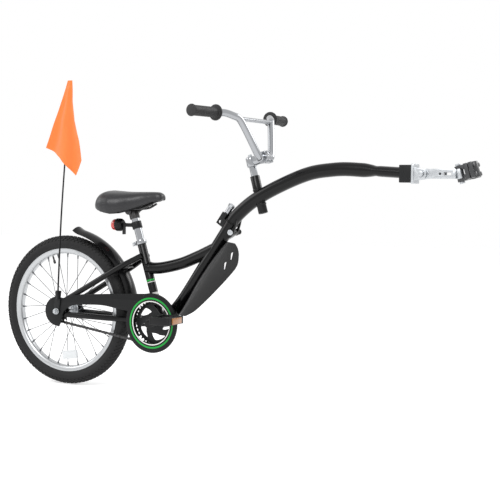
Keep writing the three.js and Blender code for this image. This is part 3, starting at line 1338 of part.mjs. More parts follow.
// Drive: ring and cog have the same tooth form, cut for the chain's rollers
const pitchRadius = (teeth) => chainPitch / (2 * Math.sin(Math.PI / teeth));
const driveLine = Math.atan2(bracketHeight - axleHeight, bracketX);
function toothed(teeth, phase) {
  const radius = pitchRadius(teeth);
  const foot = radius - rollerRadius - 2 * seatGap;
  const tip = radius + rollerRadius * toothShare;
  const step = (2 * Math.PI) / teeth;
  return Array.from({ length: teeth }, (_, i) => [
    [-toothFootShare, foot],
    [toothFootShare, foot],
    [toothTipShare, tip],
    [1 - toothTipShare, tip],
  ].map(([share, distance]) => {
    const turn = phase + (i + share) * step;
    return [distance * Math.cos(turn), distance * Math.sin(turn)];
  })).flat();
}
const hole = (points) => {
  const path = new THREE.Path();
  points.forEach(([x, y], i) => (i === 0 ? path.moveTo(x, y) : path.lineTo(x, y)));
  path.closePath();
  return path;
};
const ringInner = pitchRadius(ringTeeth) - rollerRadius - ringRimWidth;
const crank = new THREE.Group();
crank.position.copy(bracket);
layout.add(crank);
const ringOutline = outlineOf(toothed(ringTeeth, driveLine));
for (let i = 0; i < ringArms; i += 1) {
  const sector = (2 * Math.PI) / ringArms;
  const from = i * sector;
  const hubGap = ringArmWidth / 2 / ringHubRadius;
  const rimGap = ringArmWidth / 2 / ringInner;
  const inner = arcPoints(0, 0, ringHubRadius, from + hubGap, from + sector - hubGap, 3);
  const outer = arcPoints(0, 0, ringInner, from + ringArmSweep + rimGap,
    from + ringArmSweep + sector - rimGap, 5);
  ringOutline.holes.push(hole([...inner, ...outer.reverse()]));
}
ringOutline.holes.push(hole(arcPoints(0, 0, spindleRadius + 3 * seatGap, 0, 2 * Math.PI * (11 / 12), 11)));
const toothHalf = toothThickness / 2;
piece('chainring', plate(ringOutline, -chainOffset - toothHalf, -chainOffset + toothHalf),
  glossBlack, 0.4, 0, crank);

const crankInner = crankHalfWidth - crankBarThickness;
const armSpine = point(Math.cos(crankTurn), 0, Math.sin(crankTurn)).multiplyScalar(crankLength);
const armOutline = (sign) => {
  const turn = crankTurn + (sign > 0 ? 0 : Math.PI);
  return outlineOf([
    ...arcPoints(0, 0, crankEyeRadius, turn + Math.PI / 2, turn + (3 * Math.PI) / 2, 8),
    ...arcPoints(sign * armSpine.x, sign * armSpine.z, crankBarWidth / 2, turn - Math.PI / 2,
      turn + Math.PI / 2, 8),
  ]);
};
const spindles = [];

[['bb_cup_near', -1], ['bb_cup_far', 1]].forEach(([name, side]) => {
  const inside = side * (shellHalf - cutOver);
  const lip = side * (shellHalf + seatGap);
  const outside = side * (shellHalf + cupLip);
  const span = (radius, a, b) => pinAlongY(radius, Math.min(a, b), Math.max(a, b), 0, 0);
  piece(name, cut(
    join(span(bracketBoreRadius - seatGap, inside, outside), span(cupRadius, lip, outside)),
    span(spindleRadius + runGap, -shellHalf - cutOver, shellHalf + cutOver),
  ).translate([bracketX, 0, bracketHeight]), silver, 0.3, 1);
});

const pedalFrom = crankHalfWidth + pedalCollar + seatGap;
const pedalTo = pedalFrom + pedalWidth;
[['near', -1, 1], ['far', 1, -1]].forEach(([name, side, sign]) => {
  const group = new THREE.Group();
  group.position.set(sign * armSpine.x, 0, sign * armSpine.z);
  crank.add(group);
  const span = (a, b) => [Math.min(side * a, side * b), Math.max(side * a, side * b)];
  const spindleEnd = pedalTo - pedalEnd;
  spindles.push(join(
    pinAlongY(pedalSpindleRadius, ...span(crankInner, spindleEnd), 0, 0, tubeSides),
    pinAlongY(pedalCollarRadius, ...span(crankHalfWidth + seatGap, crankHalfWidth + pedalCollar),
      0, 0, 6),
  ).translate([sign * armSpine.x, 0, sign * armSpine.z]));
  const middle = (side * (pedalFrom + pedalTo)) / 2;
  const railAt = (pedalLength - pedalRail) / 2;
  piece(`pedal_${name}`, cut(
    join(
      pinAlongY(pedalBarrelRadius, ...span(pedalFrom, pedalTo), 0, 0, tubeSides),
      block(pedalRail, pedalWidth, pedalThickness, railAt, middle, 0),
      block(pedalRail, pedalWidth, pedalThickness, -railAt, middle, 0),
      block(pedalLength, pedalEnd, pedalThickness, 0, side * (pedalFrom + pedalEnd / 2), 0),
      block(pedalLength, pedalEnd, pedalThickness, 0, side * (pedalTo - pedalEnd / 2), 0),
      block(pedalLength + 2 * pedalReflectorThickness, pedalReflectorLength, pedalReflectorHeight,
        0, middle, 0),
    ),
    block(pedalLength - 2 * pedalRail, pedalWidth - 2 * pedalEnd, pedalThickness,
      0, middle, pedalThickness / 2 + pedalBarrelRadius),
    pinAlongY(pedalSpindleRadius + 2 * seatGap, ...span(pedalFrom - cutOver, spindleEnd + seatGap), 0, 0,
      tubeSides),
  ), rubberBlack, 0.6, 0, group);
});

piece('crank', join(
  pinAlongY(spindleRadius, -crankInner - crankBarThickness / 2, crankInner + crankBarThickness / 2,
    0, 0, tubeSides),
  plate(armOutline(1), -crankHalfWidth, -crankInner),
  plate(armOutline(-1), crankInner, crankHalfWidth),
  ...spindles,
), glossBlack, 0.3, 0, crank);

// Freewheel cog on the hub's right side
const cogBodyFrom = -chainOffset - cogBodyWidth / 2;
piece('freewheel', cut(
  join(
    plate(outlineOf(toothed(cogTeeth, driveLine)), -chainOffset - toothHalf,
      -chainOffset + toothHalf),
    pinAlongY(cogBodyRadius, -chainOffset - toothHalf - seatGap, -hubHalf - seatGap),
  ),
  pinAlongY(cogBore, cogBodyFrom - cutOver, cutOver),
).translate([0, 0, axleHeight]), steelGrey, 0.4, 0.9);

// Axle, spacers and nuts
const plateInner = dropoutHalfSpacing - dropoutThickness / 2 - seatGap;
const plateOuter = dropoutHalfSpacing + dropoutThickness / 2 + seatGap;
const bracketFrom = guardOffset + seatGap;
const nearNutFrom = bracketFrom + flagBracketThickness + seatGap;
const onAxle = (radius, from, to, sides = roundSides) => pinAlongY(radius, from, to, 0, axleHeight,
  sides);
piece('axle', join(
  onAxle(axleRadius, -nearNutFrom - axleEndLength, plateOuter + axleEndLength,
    tubeSides),
  onAxle(axleNutRadius, -plateInner, cogBodyFrom - seatGap, 6),
  onAxle(axleNutRadius, hubHalf + seatGap, plateInner, 6),
), steelGrey, 0.3, 1);
const axleTool = onAxle(axleRadius + seatGap, -2 * guardOffset, 2 * guardOffset, tubeSides);
piece('axle_nut_near', cut(
  join(
    onAxle(axleWasherRadius, -nearNutFrom - axleWasherThickness, -nearNutFrom),
    onAxle(axleNutRadius, -nearNutFrom - axleNutThickness, -nearNutFrom, 6),
  ),
  axleTool,
), silver, 0.3, 1);
piece('axle_nut_far', cut(
  join(
    onAxle(axleWasherRadius, plateOuter, plateOuter + axleWasherThickness),
    onAxle(axleNutRadius, plateOuter, plateOuter + axleNutThickness, 6),
  ),
  axleTool,
), silver, 0.3, 1);

// Chain: rollers lie in the valleys of both sprockets and at even spacing on the two straight runs.
// Two side straps step out and in from link to link.
const ringPitch = pitchRadius(ringTeeth);
const cogPitch = pitchRadius(cogTeeth);
const ringCentre = [bracketX, bracketHeight];
const cogCentre = [0, axleHeight];
const centreDistance = Math.hypot(bracketX, bracketHeight - axleHeight);
const wrapHalf = Math.acos((cogPitch - ringPitch) / centreDistance);
const wrapTeeth = (teeth, half) => Math.floor((half * teeth) / (2 * Math.PI));
const onCircle = ([x, z], radius, turn) => [
  x + radius * Math.cos(driveLine + turn),
  z + radius * Math.sin(driveLine + turn),
];
const ringWrap = wrapTeeth(ringTeeth, wrapHalf);
const cogWrap = wrapTeeth(cogTeeth, Math.PI - wrapHalf);
const rollers = [];
for (let i = ringWrap; i >= -ringWrap; i -= 1) {
  rollers.push(onCircle(ringCentre, ringPitch, (i * 2 * Math.PI) / ringTeeth));
}
const cogRollers = [];
for (let i = -cogWrap; i <= cogWrap; i += 1) {
  cogRollers.push(onCircle(cogCentre, cogPitch, Math.PI - (i * 2 * Math.PI) / cogTeeth));
}
const straightRun = (from, to) => {
  const count = Math.round(Math.hypot(to[0] - from[0], to[1] - from[1]) / chainPitch);
  return Array.from({ length: count - 1 }, (_, i) => [
    from[0] + ((to[0] - from[0]) * (i + 1)) / count,
    from[1] + ((to[1] - from[1]) * (i + 1)) / count,
  ]);
};
const lowerRun = straightRun(rollers[rollers.length - 1], cogRollers[0]);
const upperRun = straightRun(cogRollers[cogRollers.length - 1], rollers[0]);
const rollerPlaces = [...rollers, ...lowerRun, ...cogRollers, ...upperRun];
const linkCount = rollerPlaces.length;

// Each strap has two rings to a roller, at the roller's rear and front, and four corners to a ring:
// inner top, inner bottom, outer bottom, outer top. The rollers stand on the rings' inner corners.
function chainGeometry() {
  const places = [];
  const corners = [];
  const inner = innerLinkHalfWidth - linkPlate;
  const step = outerLinkHalfWidth - innerLinkHalfWidth;
  [-1, 1].forEach((side) => rollerPlaces.forEach(([x, z], i) => {
    const [nextX, nextZ] = rollerPlaces[(i + 1) % linkCount];
    const [lastX, lastZ] = rollerPlaces[(i + linkCount - 1) % linkCount];
    const length = Math.hypot(nextX - lastX, nextZ - lastZ);
    const along = [(nextX - lastX) / length, (nextZ - lastZ) / length];
    const shifts = [i % 2 === 0 ? step : 0, i % 2 === 0 ? 0 : step];
    [-1, 1].forEach((way, k) => {
      const ahead = way * rollerRadius * rollerHalfShare;
      const from = inner + shifts[k];
      const to = from + linkPlate;
      [[from, 1], [from, -1], [to, -1], [to, 1]].forEach(([y, rise]) => places.push(
        x + along[0] * ahead - along[1] * rise * linkHalfHeight,
        -chainOffset + side * y,
        z + along[1] * ahead + along[0] * rise * linkHalfHeight,
      ));
    });
  }));
  const total = linkCount * 2;
  const at = (side, ring, corner) => (side * total + (ring % total)) * 4 + corner;
  const quad = (a, b, c, d) => corners.push(a, b, c, a, c, d);
  for (let ring = 0; ring < total; ring += 1) {
    const next = ring + 1;
    const onRoller = ring % 2 === 0;
    for (let k = onRoller ? 1 : 0; k < 4; k += 1) {
      const m = (k + 1) % 4;
      quad(at(0, ring, k), at(0, ring, m), at(0, next, m), at(0, next, k));
      quad(at(1, ring, k), at(1, next, k), at(1, next, m), at(1, ring, m));
    }
    if (onRoller) {
      quad(at(0, ring, 0), at(0, ring, 1), at(1, ring, 1), at(1, ring, 0));
      quad(at(0, ring, 1), at(0, next, 1), at(1, next, 1), at(1, ring, 1));
      quad(at(0, next, 1), at(0, next, 0), at(1, next, 0), at(1, next, 1));
      quad(at(0, next, 0), at(0, ring, 0), at(1, ring, 0), at(1, next, 0));
    }
  }
  const geometry = new THREE.BufferGeometry();
  geometry.setAttribute('position', new THREE.Float32BufferAttribute(places, 3));
  geometry.setIndex(corners);
  return geometry;
}
piece('chain', chainGeometry(), steelGrey, 0.35, 0.9);

// Chain guard: lobe round the axle, band over the upper run, disc round the ring, all with a lip
const guardOutline = (inset) => {
  const lobe = guardLobeRadius - inset;
  return outlineOf([
    ...arcPoints(0, axleHeight, lobe, 2 * Math.PI * guardLobeTurnShares[0],
      2 * Math.PI * guardLobeTurnShares[1], 12),
    ...guardBandShares.map(([x, z]) => [
      x * bracketX - (z < 0 ? inset : 0),
      bracketHeight + z * guardTop + (z < 0 ? 0 : inset),
    ]),
    [bracketX, bracketHeight],
    [bracketX, bracketHeight + guardTop - inset],
    [bracketX * guardShoulderShares[0], bracketHeight + guardTop * guardShoulderShares[1] - inset],
  ]);
};
const guardShape = (inset, from, to) => join(
  plate(guardOutline(inset), from, to),
  pinAlongY(guardDiscRadius - inset, from, to, bracketX, bracketHeight, 24),
);
const guardFace = -guardOffset + guardThickness;
const bossPlace = onSeatTube(bracketHeight + guardTop - guardBossRadius - 2 * seatGap);
piece('chain_guard', cut(
  join(
    cut(
      guardShape(0, -guardOffset, guardFace + guardLip),
      guardShape(guardThickness, guardFace, guardFace + guardLip + cutOver),
    ),
    pinAlongY(guardBossRadius, guardFace - seatGap, -seatTubeRadius - 2 * seatGap, bossPlace.x,
      bossPlace.z, smallSides),
    onAxle(axleWasherRadius, guardFace - seatGap, -plateOuter),
  ),
  pinAlongY(guardDiscBore, -guardOffset - cutOver, guardFace + cutOver, bracketX, bracketHeight, 20),
  axleTool,
), satinGrey, 0.5, 0.1);

// Fender: arched blade with a lip at its rear end
const fenderRows = 12;
const fenderColumns = 4;
const fenderGrid = (inset) => Array.from({ length: fenderRows + 1 }, (_, i) => {
  const turn = fenderStart + ((fenderEnd - fenderStart) * i) / fenderRows;
  const flare = i === fenderRows ? fenderLip / 2 : 0;
  return Array.from({ length: fenderColumns + 1 }, (__, k) => {
    const across = (2 * k) / fenderColumns - 1;
    const radius = fenderRadius + flare - inset - fenderCrown * across * across;
    return point(
      radius * Math.cos(turn),
      across * (fenderWidth / 2 - inset),
      axleHeight + radius * Math.sin(turn),
    );
  });
});
piece('fender', cut(
  skin(fenderGrid(0), fenderGrid(fenderThickness)),
  ...stayTools,
), glossBlack, 0.3, 0);

// Splash guard on the down tube's front: a shallow scoop with a crease along the tube
const downCurve = new THREE.CatmullRomCurve3(downTubePath, false, 'centripetal');
const splashColumns = [-1, -0.7, -0.35, 0, 0.35, 0.7, 1];
const splashGrid = (inset) => splashShares.map(([along, width]) => {
  const share = splashTopShare + (splashBottomShare - splashTopShare) * along;
  const centre = downCurve.getPointAt(share);
  const tangent = downCurve.getTangentAt(share);
  const forward = point(tangent.z, 0, -tangent.x);
  return splashColumns.map((across) => centre.clone()
    .addScaledVector(forward, downTubeRadius + 2 * seatGap + splashThickness - inset
      + splashSweep * width * Math.abs(across) ** splashBendPower)
    .add(point(0, across * width * splashWidth, 0)));
});
const splashSlots = [];
splashSlotShares.forEach(([along, across]) => [-1, 1].forEach((side) => {
  const share = splashTopShare + (splashBottomShare - splashTopShare) * along;
  const centre = downCurve.getPointAt(share);
  const reach = downTubeRadius + splashSweep;
  const cutter = block(splashSlotWidth, splashSlotLength, 3 * splashSweep)
    .rotateZ(side * splashSlotTilt)
    .rotateY(Math.PI / 2 - hingeSlope)
    .translate(centre.x, side * across * splashWidth, centre.z)
    .translate(-reach * tubeAbove.x, 0, -reach * tubeAbove.z);
  splashSlots.push(cutter);
}));
piece('splash_guard', cut(
  skin(splashGrid(0), splashGrid(splashThickness)),
  ...splashSlots,
), satinGrey, 0.6, 0);

// Flag: bracket on the axle, pole in its socket, cloth on a sleeve round the pole's top
const socketFrom = axleHeight + flagSocketLift;
const poleFoot = point(poleStart, -flagOffset, socketFrom);
const poleTop = point(poleStart + poleLean, -flagOffset, socketFrom + poleHeight);
const poleMiddle = poleFoot.clone().lerp(poleTop, poleBowShare).add(point(-poleBow, 0, 0));
const polePath = new THREE.CatmullRomCurve3([poleFoot, poleMiddle, poleTop], false, 'centripetal');
const socketTop = socketFrom + flagSocketLength;
const poleTool = tubeAlong(polePath.getPoints(4), poleRadius + seatGap, smallSides, 9);
piece('flag_bracket', cut(
  join(
    plate(outlineOf([
      ...arcPoints(0, axleHeight, flagBracketWidth / 2, Math.PI, 2 * Math.PI, 6),
      [poleStart + flagBracketWidth / 2, socketTop],
      [poleStart - flagBracketWidth / 2, socketTop],
    ]), -bracketFrom - flagBracketThickness, -bracketFrom),
    rod(point(poleFoot.x, -flagOffset, socketFrom - flagBracketThickness),
      point(poleFoot.x, -flagOffset, socketTop), flagSocketRadius, tubeSides),
  ),
  axleTool,
  poleTool,
), glossBlack, 0.4, 0);
piece('flag_pole', tubeAlong(polePath.getPoints(4), poleRadius, smallSides, 9),
  rubberBlack, 0.4, 0);

const sleevePath = polePath.getSpacedPoints(200)
  .filter((place) => place.z > poleTop.z - sleeveLength);
const sleeveSpine = [0, 0.5, 1].map((share) => sleevePath[Math.round(share
  * (sleevePath.length - 1))]);
const sleeveRadius = poleRadius + seatGap + sleeveWall;
const clothRows = 8;
const clothGrid = (back) => Array.from({ length: clothRows + 1 }, (_, i) => {
  const down = i / clothRows;
  const edgeAt = (shares) => {
    const spot = down * (shares.length - 1);
    const low = Math.min(Math.floor(spot), shares.length - 2);
    return shares[low] + (shares[low + 1] - shares[low]) * (spot - low);
  };
  return flagHemShares.map((hem, k) => {
    const across = k / (flagHemShares.length - 1);
    const side = edgeAt(flagRearShares) + (edgeAt(flagFrontShares) - edgeAt(flagRearShares)) * across;
    const fold = flagFold * down * Math.sin(across * Math.PI * 2 * flagFoldCount);
    return point(
      poleTop.x + side * flagWidth,
      -flagOffset - sleeveRadius - flagFold * down + fold + (back ? flagThickness : 0),
      poleTop.z - down * hem * flagLength,
    );
  });
});
piece('flag', cut(
  join(
    skin(clothGrid(true), clothGrid(false)),
    tubeAlong(sleeveSpine, sleeveRadius, 8, 4),
  ),
  tubeAlong(polePath.getPoints(4), poleRadius + seatGap, smallSides, 9),
), flagOrange, 0.8, 0);

// The centre of the seatpost clamp becomes the origin
const clampCentrePlace = point(clampBehind, 0, 0)
  .applyAxisAngle(point(0, 1, 0), postLean - Math.PI / 2)
  .add(point(swivelX, 0, hitchHeight));
layout.position.copy(clampCentrePlace).negate();

export default trailerBike;
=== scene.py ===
"""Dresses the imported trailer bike: smooth tubes, chrome, rubber, vinyl, moulded plastic and cloth.

Places are in millimetres from the point of the ground under the wheel's axle, X forward, Y to the left
and Z up, and a single function turns them into the frame's metres.
"""

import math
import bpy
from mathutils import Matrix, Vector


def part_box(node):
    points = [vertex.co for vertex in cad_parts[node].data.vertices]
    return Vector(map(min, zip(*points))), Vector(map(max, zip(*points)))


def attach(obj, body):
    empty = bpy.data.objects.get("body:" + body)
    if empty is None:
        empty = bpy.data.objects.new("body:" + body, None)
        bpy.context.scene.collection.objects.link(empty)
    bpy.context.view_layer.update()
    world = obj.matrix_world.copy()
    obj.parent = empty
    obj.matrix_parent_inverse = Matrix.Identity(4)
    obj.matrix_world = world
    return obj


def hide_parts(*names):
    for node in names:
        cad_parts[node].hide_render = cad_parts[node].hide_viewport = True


bl_info = {
    "name": "Trailer Bike",
    "version": (1, 0, 0),
    "blender": (4, 5, 0),
    "location": "View3D > Sidebar > Trailer Bike",
    "description": "Builds a child's trailer bike piece by piece on its packed frame",
    "category": "Object",
}

import bmesh
import bpy
import numpy as np
from bpy.props import FloatProperty, FloatVectorProperty, IntProperty, PointerProperty
from mathutils import Matrix, Vector

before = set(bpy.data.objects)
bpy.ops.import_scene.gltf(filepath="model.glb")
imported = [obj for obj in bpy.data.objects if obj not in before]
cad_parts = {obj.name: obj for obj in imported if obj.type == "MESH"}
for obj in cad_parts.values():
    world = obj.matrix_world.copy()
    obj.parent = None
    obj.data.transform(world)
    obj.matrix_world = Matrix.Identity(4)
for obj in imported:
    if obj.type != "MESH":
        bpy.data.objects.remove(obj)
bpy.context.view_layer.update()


def wheel_foot():
    """The point of the ground under the axle, in the frame."""
    low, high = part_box("tyre")
    return Vector(((low.x + high.x) / 2, 0.0, low.z))


def polar(radius, turn, y=0.0):
    """A place round the bike's cross axis, by a turn that goes from forward towards up."""
    return Vector((radius * math.cos(turn), y, radius * math.sin(turn)))


FOOT = wheel_foot()
MM = 0.001
ACROSS = Vector((0, 1, 0))
UP = Vector((0, 0, 1))
AHEAD = Vector((1, 0, 0))

UPRIGHT = Matrix(((1, 0, 0), (0, 0, 1), (0, 1, 0)))  # from a flat outline to the bike's plane

# Main places of the bike, in millimetres
AXLE = Vector((0, 0, 252.5))
BRACKET = Vector((375, 0, 236))
PIVOT = Vector((640, 0, 532))
SEAT_SLOPE = polar(1, math.radians(180 - 73))
TUBE_SLOPE = polar(1, math.radians(55.5))
TUBE_ABOVE = Vector((-TUBE_SLOPE.z, 0, TUBE_SLOPE.x))
HEAD_SLOPE = polar(1, math.radians(180 - 74.8))
HEAD = Vector((731, 0, 643.346))
BAR_CLAMP = Vector((749.18, 0, 763.31))
TUBE_LIFT = 21.4  # of the down tube's centre line, above the fold pivot
CRANK_TURN = math.radians(13)

# Chain drive, in millimetres
PITCH = 12.7
RING_TEETH, COG_TEETH = 36, 18
RING_RADIUS = PITCH / (2 * math.sin(math.pi / RING_TEETH))
COG_RADIUS = PITCH / (2 * math.sin(math.pi / COG_TEETH))
CHAIN_LINE = -38.0
RING_FIRST = math.radians(92.5)  # turn of the valley where the chain's upper run seats in the ring
COG_FIRST = math.radians(97.5)

# Wheel, in millimetres
SPOKES = 28
AXLE_HOLE = 5.6
HUB_FLANGE = 27.3  # from the wheel's centre to the outer side of a flange
TYRE_RADIUS, TYRE_HALF = 228.0, 24.5  # of the section's centre, and the section's own

# Handlebar and grips, in millimetres
BAR_HALF, BAR_BACK, BAR_RISE = 294.0, 86.0, 129.0
GRIP_LONG, RIBBED = 118.0, 106.0

# Saddle, in millimetres
SADDLE_REAR, SADDLE_LONG, SADDLE_HALF = 147, 240, 84
SADDLE_TOP, SADDLE_SKIRT = 661, 77
LIGHT_Z = 546  # height of the rear light's middle
FLAG_Y = -68

HINGE_HOLE = 5.4

# Collar of a tube's end at the fold: radius and distance along the tube
FLANGE = [(0, 0), (22.2, 0), (23, 0.8), (23, 2.1), (22.2, 2.9), (0, 2.9)]


def place(point):
    """A place in millimetres as one in the frame's metres."""
    return FOOT + Vector(point) * MM


def on_tube(along):
    """The place on the down tube's centre line at a distance from the fold pivot."""
    return PIVOT + TUBE_SLOPE * along + TUBE_ABOVE * TUBE_LIFT


def at_fold(along, above):
    """A point of the bike's plane by its distances from the fold pivot, along the down tube and above."""
    spot = PIVOT + TUBE_SLOPE * along + TUBE_ABOVE * above
    return (spot.x, spot.z)


def mirrored(spot, way):
    """The place itself, or for a way of -1 the one opposite it on the bike's other side."""
    return Vector((spot.x, way * spot.y, spot.z))


def on_seat_tube(height):
    """The place on the seat tube's centre line at a height above the ground."""
    return BRACKET + SEAT_SLOPE * ((height - BRACKET.z) / SEAT_SLOPE.z)


def node_box(node):
    """The lowest and the highest corner of a CAD node, in millimetres."""
    return [(corner - FOOT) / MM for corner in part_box(node)]


# Meshes

def linked(name, data):
    """A new object of the scene."""
    piece = bpy.data.objects.new(name, data)
    bpy.context.scene.collection.objects.link(piece)
    return piece


def deleted(*helpers):
    """Takes helper objects and their meshes out of the file again."""
    for helper in helpers:
        mesh = helper.data
        bpy.data.objects.remove(helper)
        bpy.data.meshes.remove(mesh)


def smoothed(mesh, sharp):
    """The mesh shaded smooth, with sharp edges from an angle in degrees."""
    mesh.shade_smooth()
    mesh.set_sharp_from_angle(angle=math.radians(sharp))
    return mesh


def shape(name, points, faces, sharp=40.0):
    """A closed mesh from places in millimetres, with doubles merged and its faces turned outwards."""
    mesh = bpy.data.meshes.new(name)
    mesh.from_pydata([tuple(place(p)) for p in points], [], faces)
    solid = bmesh.new()
    solid.from_mesh(mesh)
    bmesh.ops.remove_doubles(solid, verts=solid.verts, dist=2e-6)
    bmesh.ops.dissolve_degenerate(solid, edges=solid.edges, dist=1e-7)
    bmesh.ops.recalc_face_normals(solid, faces=solid.faces)
    solid.to_mesh(mesh)
    solid.free()
    return linked(name, smoothed(mesh, sharp))


def baked(piece, sharp):
    """The piece with its modifiers turned into plain mesh."""
    graph = bpy.context.evaluated_depsgraph_get()
    graph.update()
    mesh = bpy.data.meshes.new_from_object(piece.evaluated_get(graph))
    old = piece.data
    piece.modifiers.clear()
    piece.data = mesh
    bpy.data.meshes.remove(old)
    mesh.name = piece.name
    if sharp is not None:
        smoothed(mesh, sharp)
    return piece


def modified(piece, kind, sharp=None, **settings):
    """The piece after one modifier, as plain mesh."""
    modifier = piece.modifiers.new(kind.lower(), kind)
    for key, value in settings.items():
        setattr(modifier, key, value)
    return baked(piece, sharp)


def one_piece(name, *parts):
    """Several plain meshes joined into one object."""
    whole = bmesh.new()
    for part in parts:
        whole.from_mesh(part.data)
    mesh = bpy.data.meshes.new(name)
    whole.to_mesh(mesh)
    whole.free()
    deleted(*parts)
    return linked(name, mesh)


def spline(points, count):
    """Evenly spaced places on the centripetal curve through points, as the solids' tubes run."""
    ends = [2 * points[0] - points[1], *points, 2 * points[-1] - points[-2]]
    dense = []
    for i in range(len(points) - 1):
        a, b, c, d = ends[i:i + 4]
        steps = [max((q - p).length ** 0.5, 1e-6) for p, q in ((a, b), (b, c), (c, d))]
        out = ((b - a) / steps[0] - (c - a) / (steps[0] + steps[1]) + (c - b) / steps[1]) * steps[1]
        into = ((c - b) / steps[1] - (d - b) / (steps[1] + steps[2]) + (d - c) / steps[2]) * steps[1]
        for k in range(40):
            t = k / 40
            dense.append(b + out * t + (3 * (c - b) - 2 * out - into) * t * t
                         + (out + into - 2 * (c - b)) * t ** 3)
    dense.append(Vector(points[-1]))
    lengths = np.cumsum([0] + [(q - p).length for p, q in zip(dense, dense[1:])])
    wanted = np.linspace(0, lengths[-1], count + 1)
    array = np.array(dense)
    return [Vector([np.interp(w, lengths, array[:, k]) for k in range(3)]) for w in wanted]


def swept(name, path, width, height=None, sides=24, lead=ACROSS):
    """A tube along a path. width and height are half sizes, or functions of the share of the way;
    width lies along lead where the path is square to it."""
    points, faces = [], []
    last = len(path) - 1
    side = Vector(lead)
    for i, centre in enumerate(path):
        along = (path[min(i + 1, last)] - path[max(i - 1, 0)]).normalized()
        side = (side - along * side.dot(along)).normalized()
        rise = along.cross(side)
        share = i / last
        w = width(share) if callable(width) else width
        h = height(share) if callable(height) else (w if height is None else height)
        for k in range(sides):
            turn = 2 * math.pi * k / sides
            points.append(centre + side * (w * math.cos(turn)) + rise * (h * math.sin(turn)))
    for row in range(0, last * sides, sides):
        for k in range(sides):
            n = (k + 1) % sides
            faces.append((row + k, row + n, row + sides + n, row + sides + k))
    faces.append(tuple(range(sides)))
    faces.append(tuple(range(last * sides, (last + 1) * sides)))
    return shape(name, points, faces)


def turned(profile, centre, axis, sides, loop=False):
    """Points and faces of a shape turned on a lathe: radius and distance along the axis, in order."""
    axis = Vector(axis).normalized()
    side = (UP if abs(axis.z) < 0.7 else AHEAD)
    side = (side - axis * side.dot(axis)).normalized()
    rise = axis.cross(side)
    points = [Vector(centre) + axis * along + (side * math.cos(turn) + rise * math.sin(turn)) * radius
              for radius, along in profile
              for turn in (2 * math.pi * k / sides for k in range(sides))]
    faces = []
    rows = len(profile) if loop else len(profile) - 1
    for i in range(rows):
        j = (i + 1) % len(profile)
        for k in range(sides):
            n = (k + 1) % sides
            faces.append((i * sides + k, i * sides + n, j * sides + n, j * sides + k))
    if not loop:
        for row in (0, len(profile) - 1):
            if profile[row][0] > 1e-4:
                faces.append(tuple(range(row * sides, (row + 1) * sides)))
    return points, faces


def lathed(name, profile, centre, axis, sides, loop=False, sharp=40.0):
    """A mesh turned on a lathe."""
    return shape(name, *turned(profile, centre, axis, sides, loop), sharp=sharp)


def cut_plate(name, outlines, near, far, edge, turn=UPRIGHT):
    """A plate with rounded edges from outlines in its own plane, the first one outside and the rest
    holes. It lies between near and far, across the bike unless turn says otherwise."""
    curve = bpy.data.curves.new(name, "CURVE")
    curve.dimensions = "2D"
    curve.fill_mode = "BOTH"
    curve.extrude = ((far - near) / 2 - edge) * MM
    curve.bevel_depth = edge * MM
    curve.bevel_resolution = 2
    curve.offset = -edge * MM
    for outline in outlines:
        line = curve.splines.new("POLY")
        line.points.add(len(outline) - 1)
        for spot, (x, y) in zip(line.points, outline):
            spot.co = (x * MM, y * MM, 0, 1)
        line.use_cyclic_u = True
    flat = linked(name, curve)
    mesh = bpy.data.meshes.new_from_object(flat.evaluated_get(bpy.context.evaluated_depsgraph_get()))
    bpy.data.objects.remove(flat)
    bpy.data.curves.remove(curve)
    middle = turn @ Vector((0, 0, (near + far) / 2))
    points = [turn @ (v.co / MM) + middle for v in mesh.vertices]
    faces = [tuple(face.vertices) for face in mesh.polygons]
    bpy.data.meshes.remove(mesh)
    return shape(name, points, faces)


def arc(x, y, radius, start, end, count):
    """Points of an arc in a plane, angles in degrees."""
    return [(x + radius * math.cos(math.radians(start + (end - start) * i / count)),
             y + radius * math.sin(math.radians(start + (end - start) * i / count)))
            for i in range(count + 1)]


def circle(x, y, radius, count=48):
    """Points of a circle in a plane."""
    return arc(x, y, radius, 0, 360 * (count - 1) / count, count - 1)


def copy_of(node, name, edge):
    """A copy of a CAD node with its doubles merged, its flat faces whole and its edges rounded."""
    solid = bmesh.new()
    solid.from_mesh(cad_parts[node].data)
    bmesh.ops.remove_doubles(solid, verts=solid.verts, dist=2e-6)
    bmesh.ops.dissolve_limit(solid, angle_limit=math.radians(1.5), verts=solid.verts, edges=solid.edges)
    mesh = bpy.data.meshes.new(name)
    solid.to_mesh(mesh)
    solid.free()
    return modified(linked(name, mesh), "BEVEL", 42, width=edge * MM, segments=2, limit_method="ANGLE",
                    angle_limit=math.radians(38), harden_normals=False)


def hex_head(centre, axis, across, thickness):
    """Points and faces of a six-sided bolt head with a rounded outer face."""
    half = across / 2 / math.cos(math.pi / 6)
    profile = [(half * 0.97, 0), (half, thickness * 0.08), (half, thickness * 0.78),
               (half * 0.9, thickness), (half * 0.3, thickness)]
    return turned([(0, 0)] + profile + [(0, thickness)], centre, axis, sides=6)


def dressed(piece, finish, body, *nodes):
    """The piece with the material of a key, riding on its body and standing for its CAD nodes."""
    piece.data.materials.clear()
    piece.data.materials.append(material_for(finish))
    for face in piece.data.polygons:
        face.material_index = 0
    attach(piece, body)
    if nodes:
        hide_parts(*nodes)
    return piece


def carried_over(*rows):
    """Dresses rounded copies of CAD nodes, each given by its node, the copy's name, its body, the key
    of its material and the radius of its edges."""
    for node, name, body, finish, edge in rows:
        dressed(copy_of(node, name, edge), finish, body, node)


# Materials

def from_hex(code):
    """The linear colour of an sRGB hex value."""
    parts = [int(code[i:i + 2], 16) / 255 for i in (1, 3, 5)]
    return tuple(p / 12.92 if p <= 0.04045 else ((p + 0.055) / 1.055) ** 2.4 for p in parts) + (1.0,)


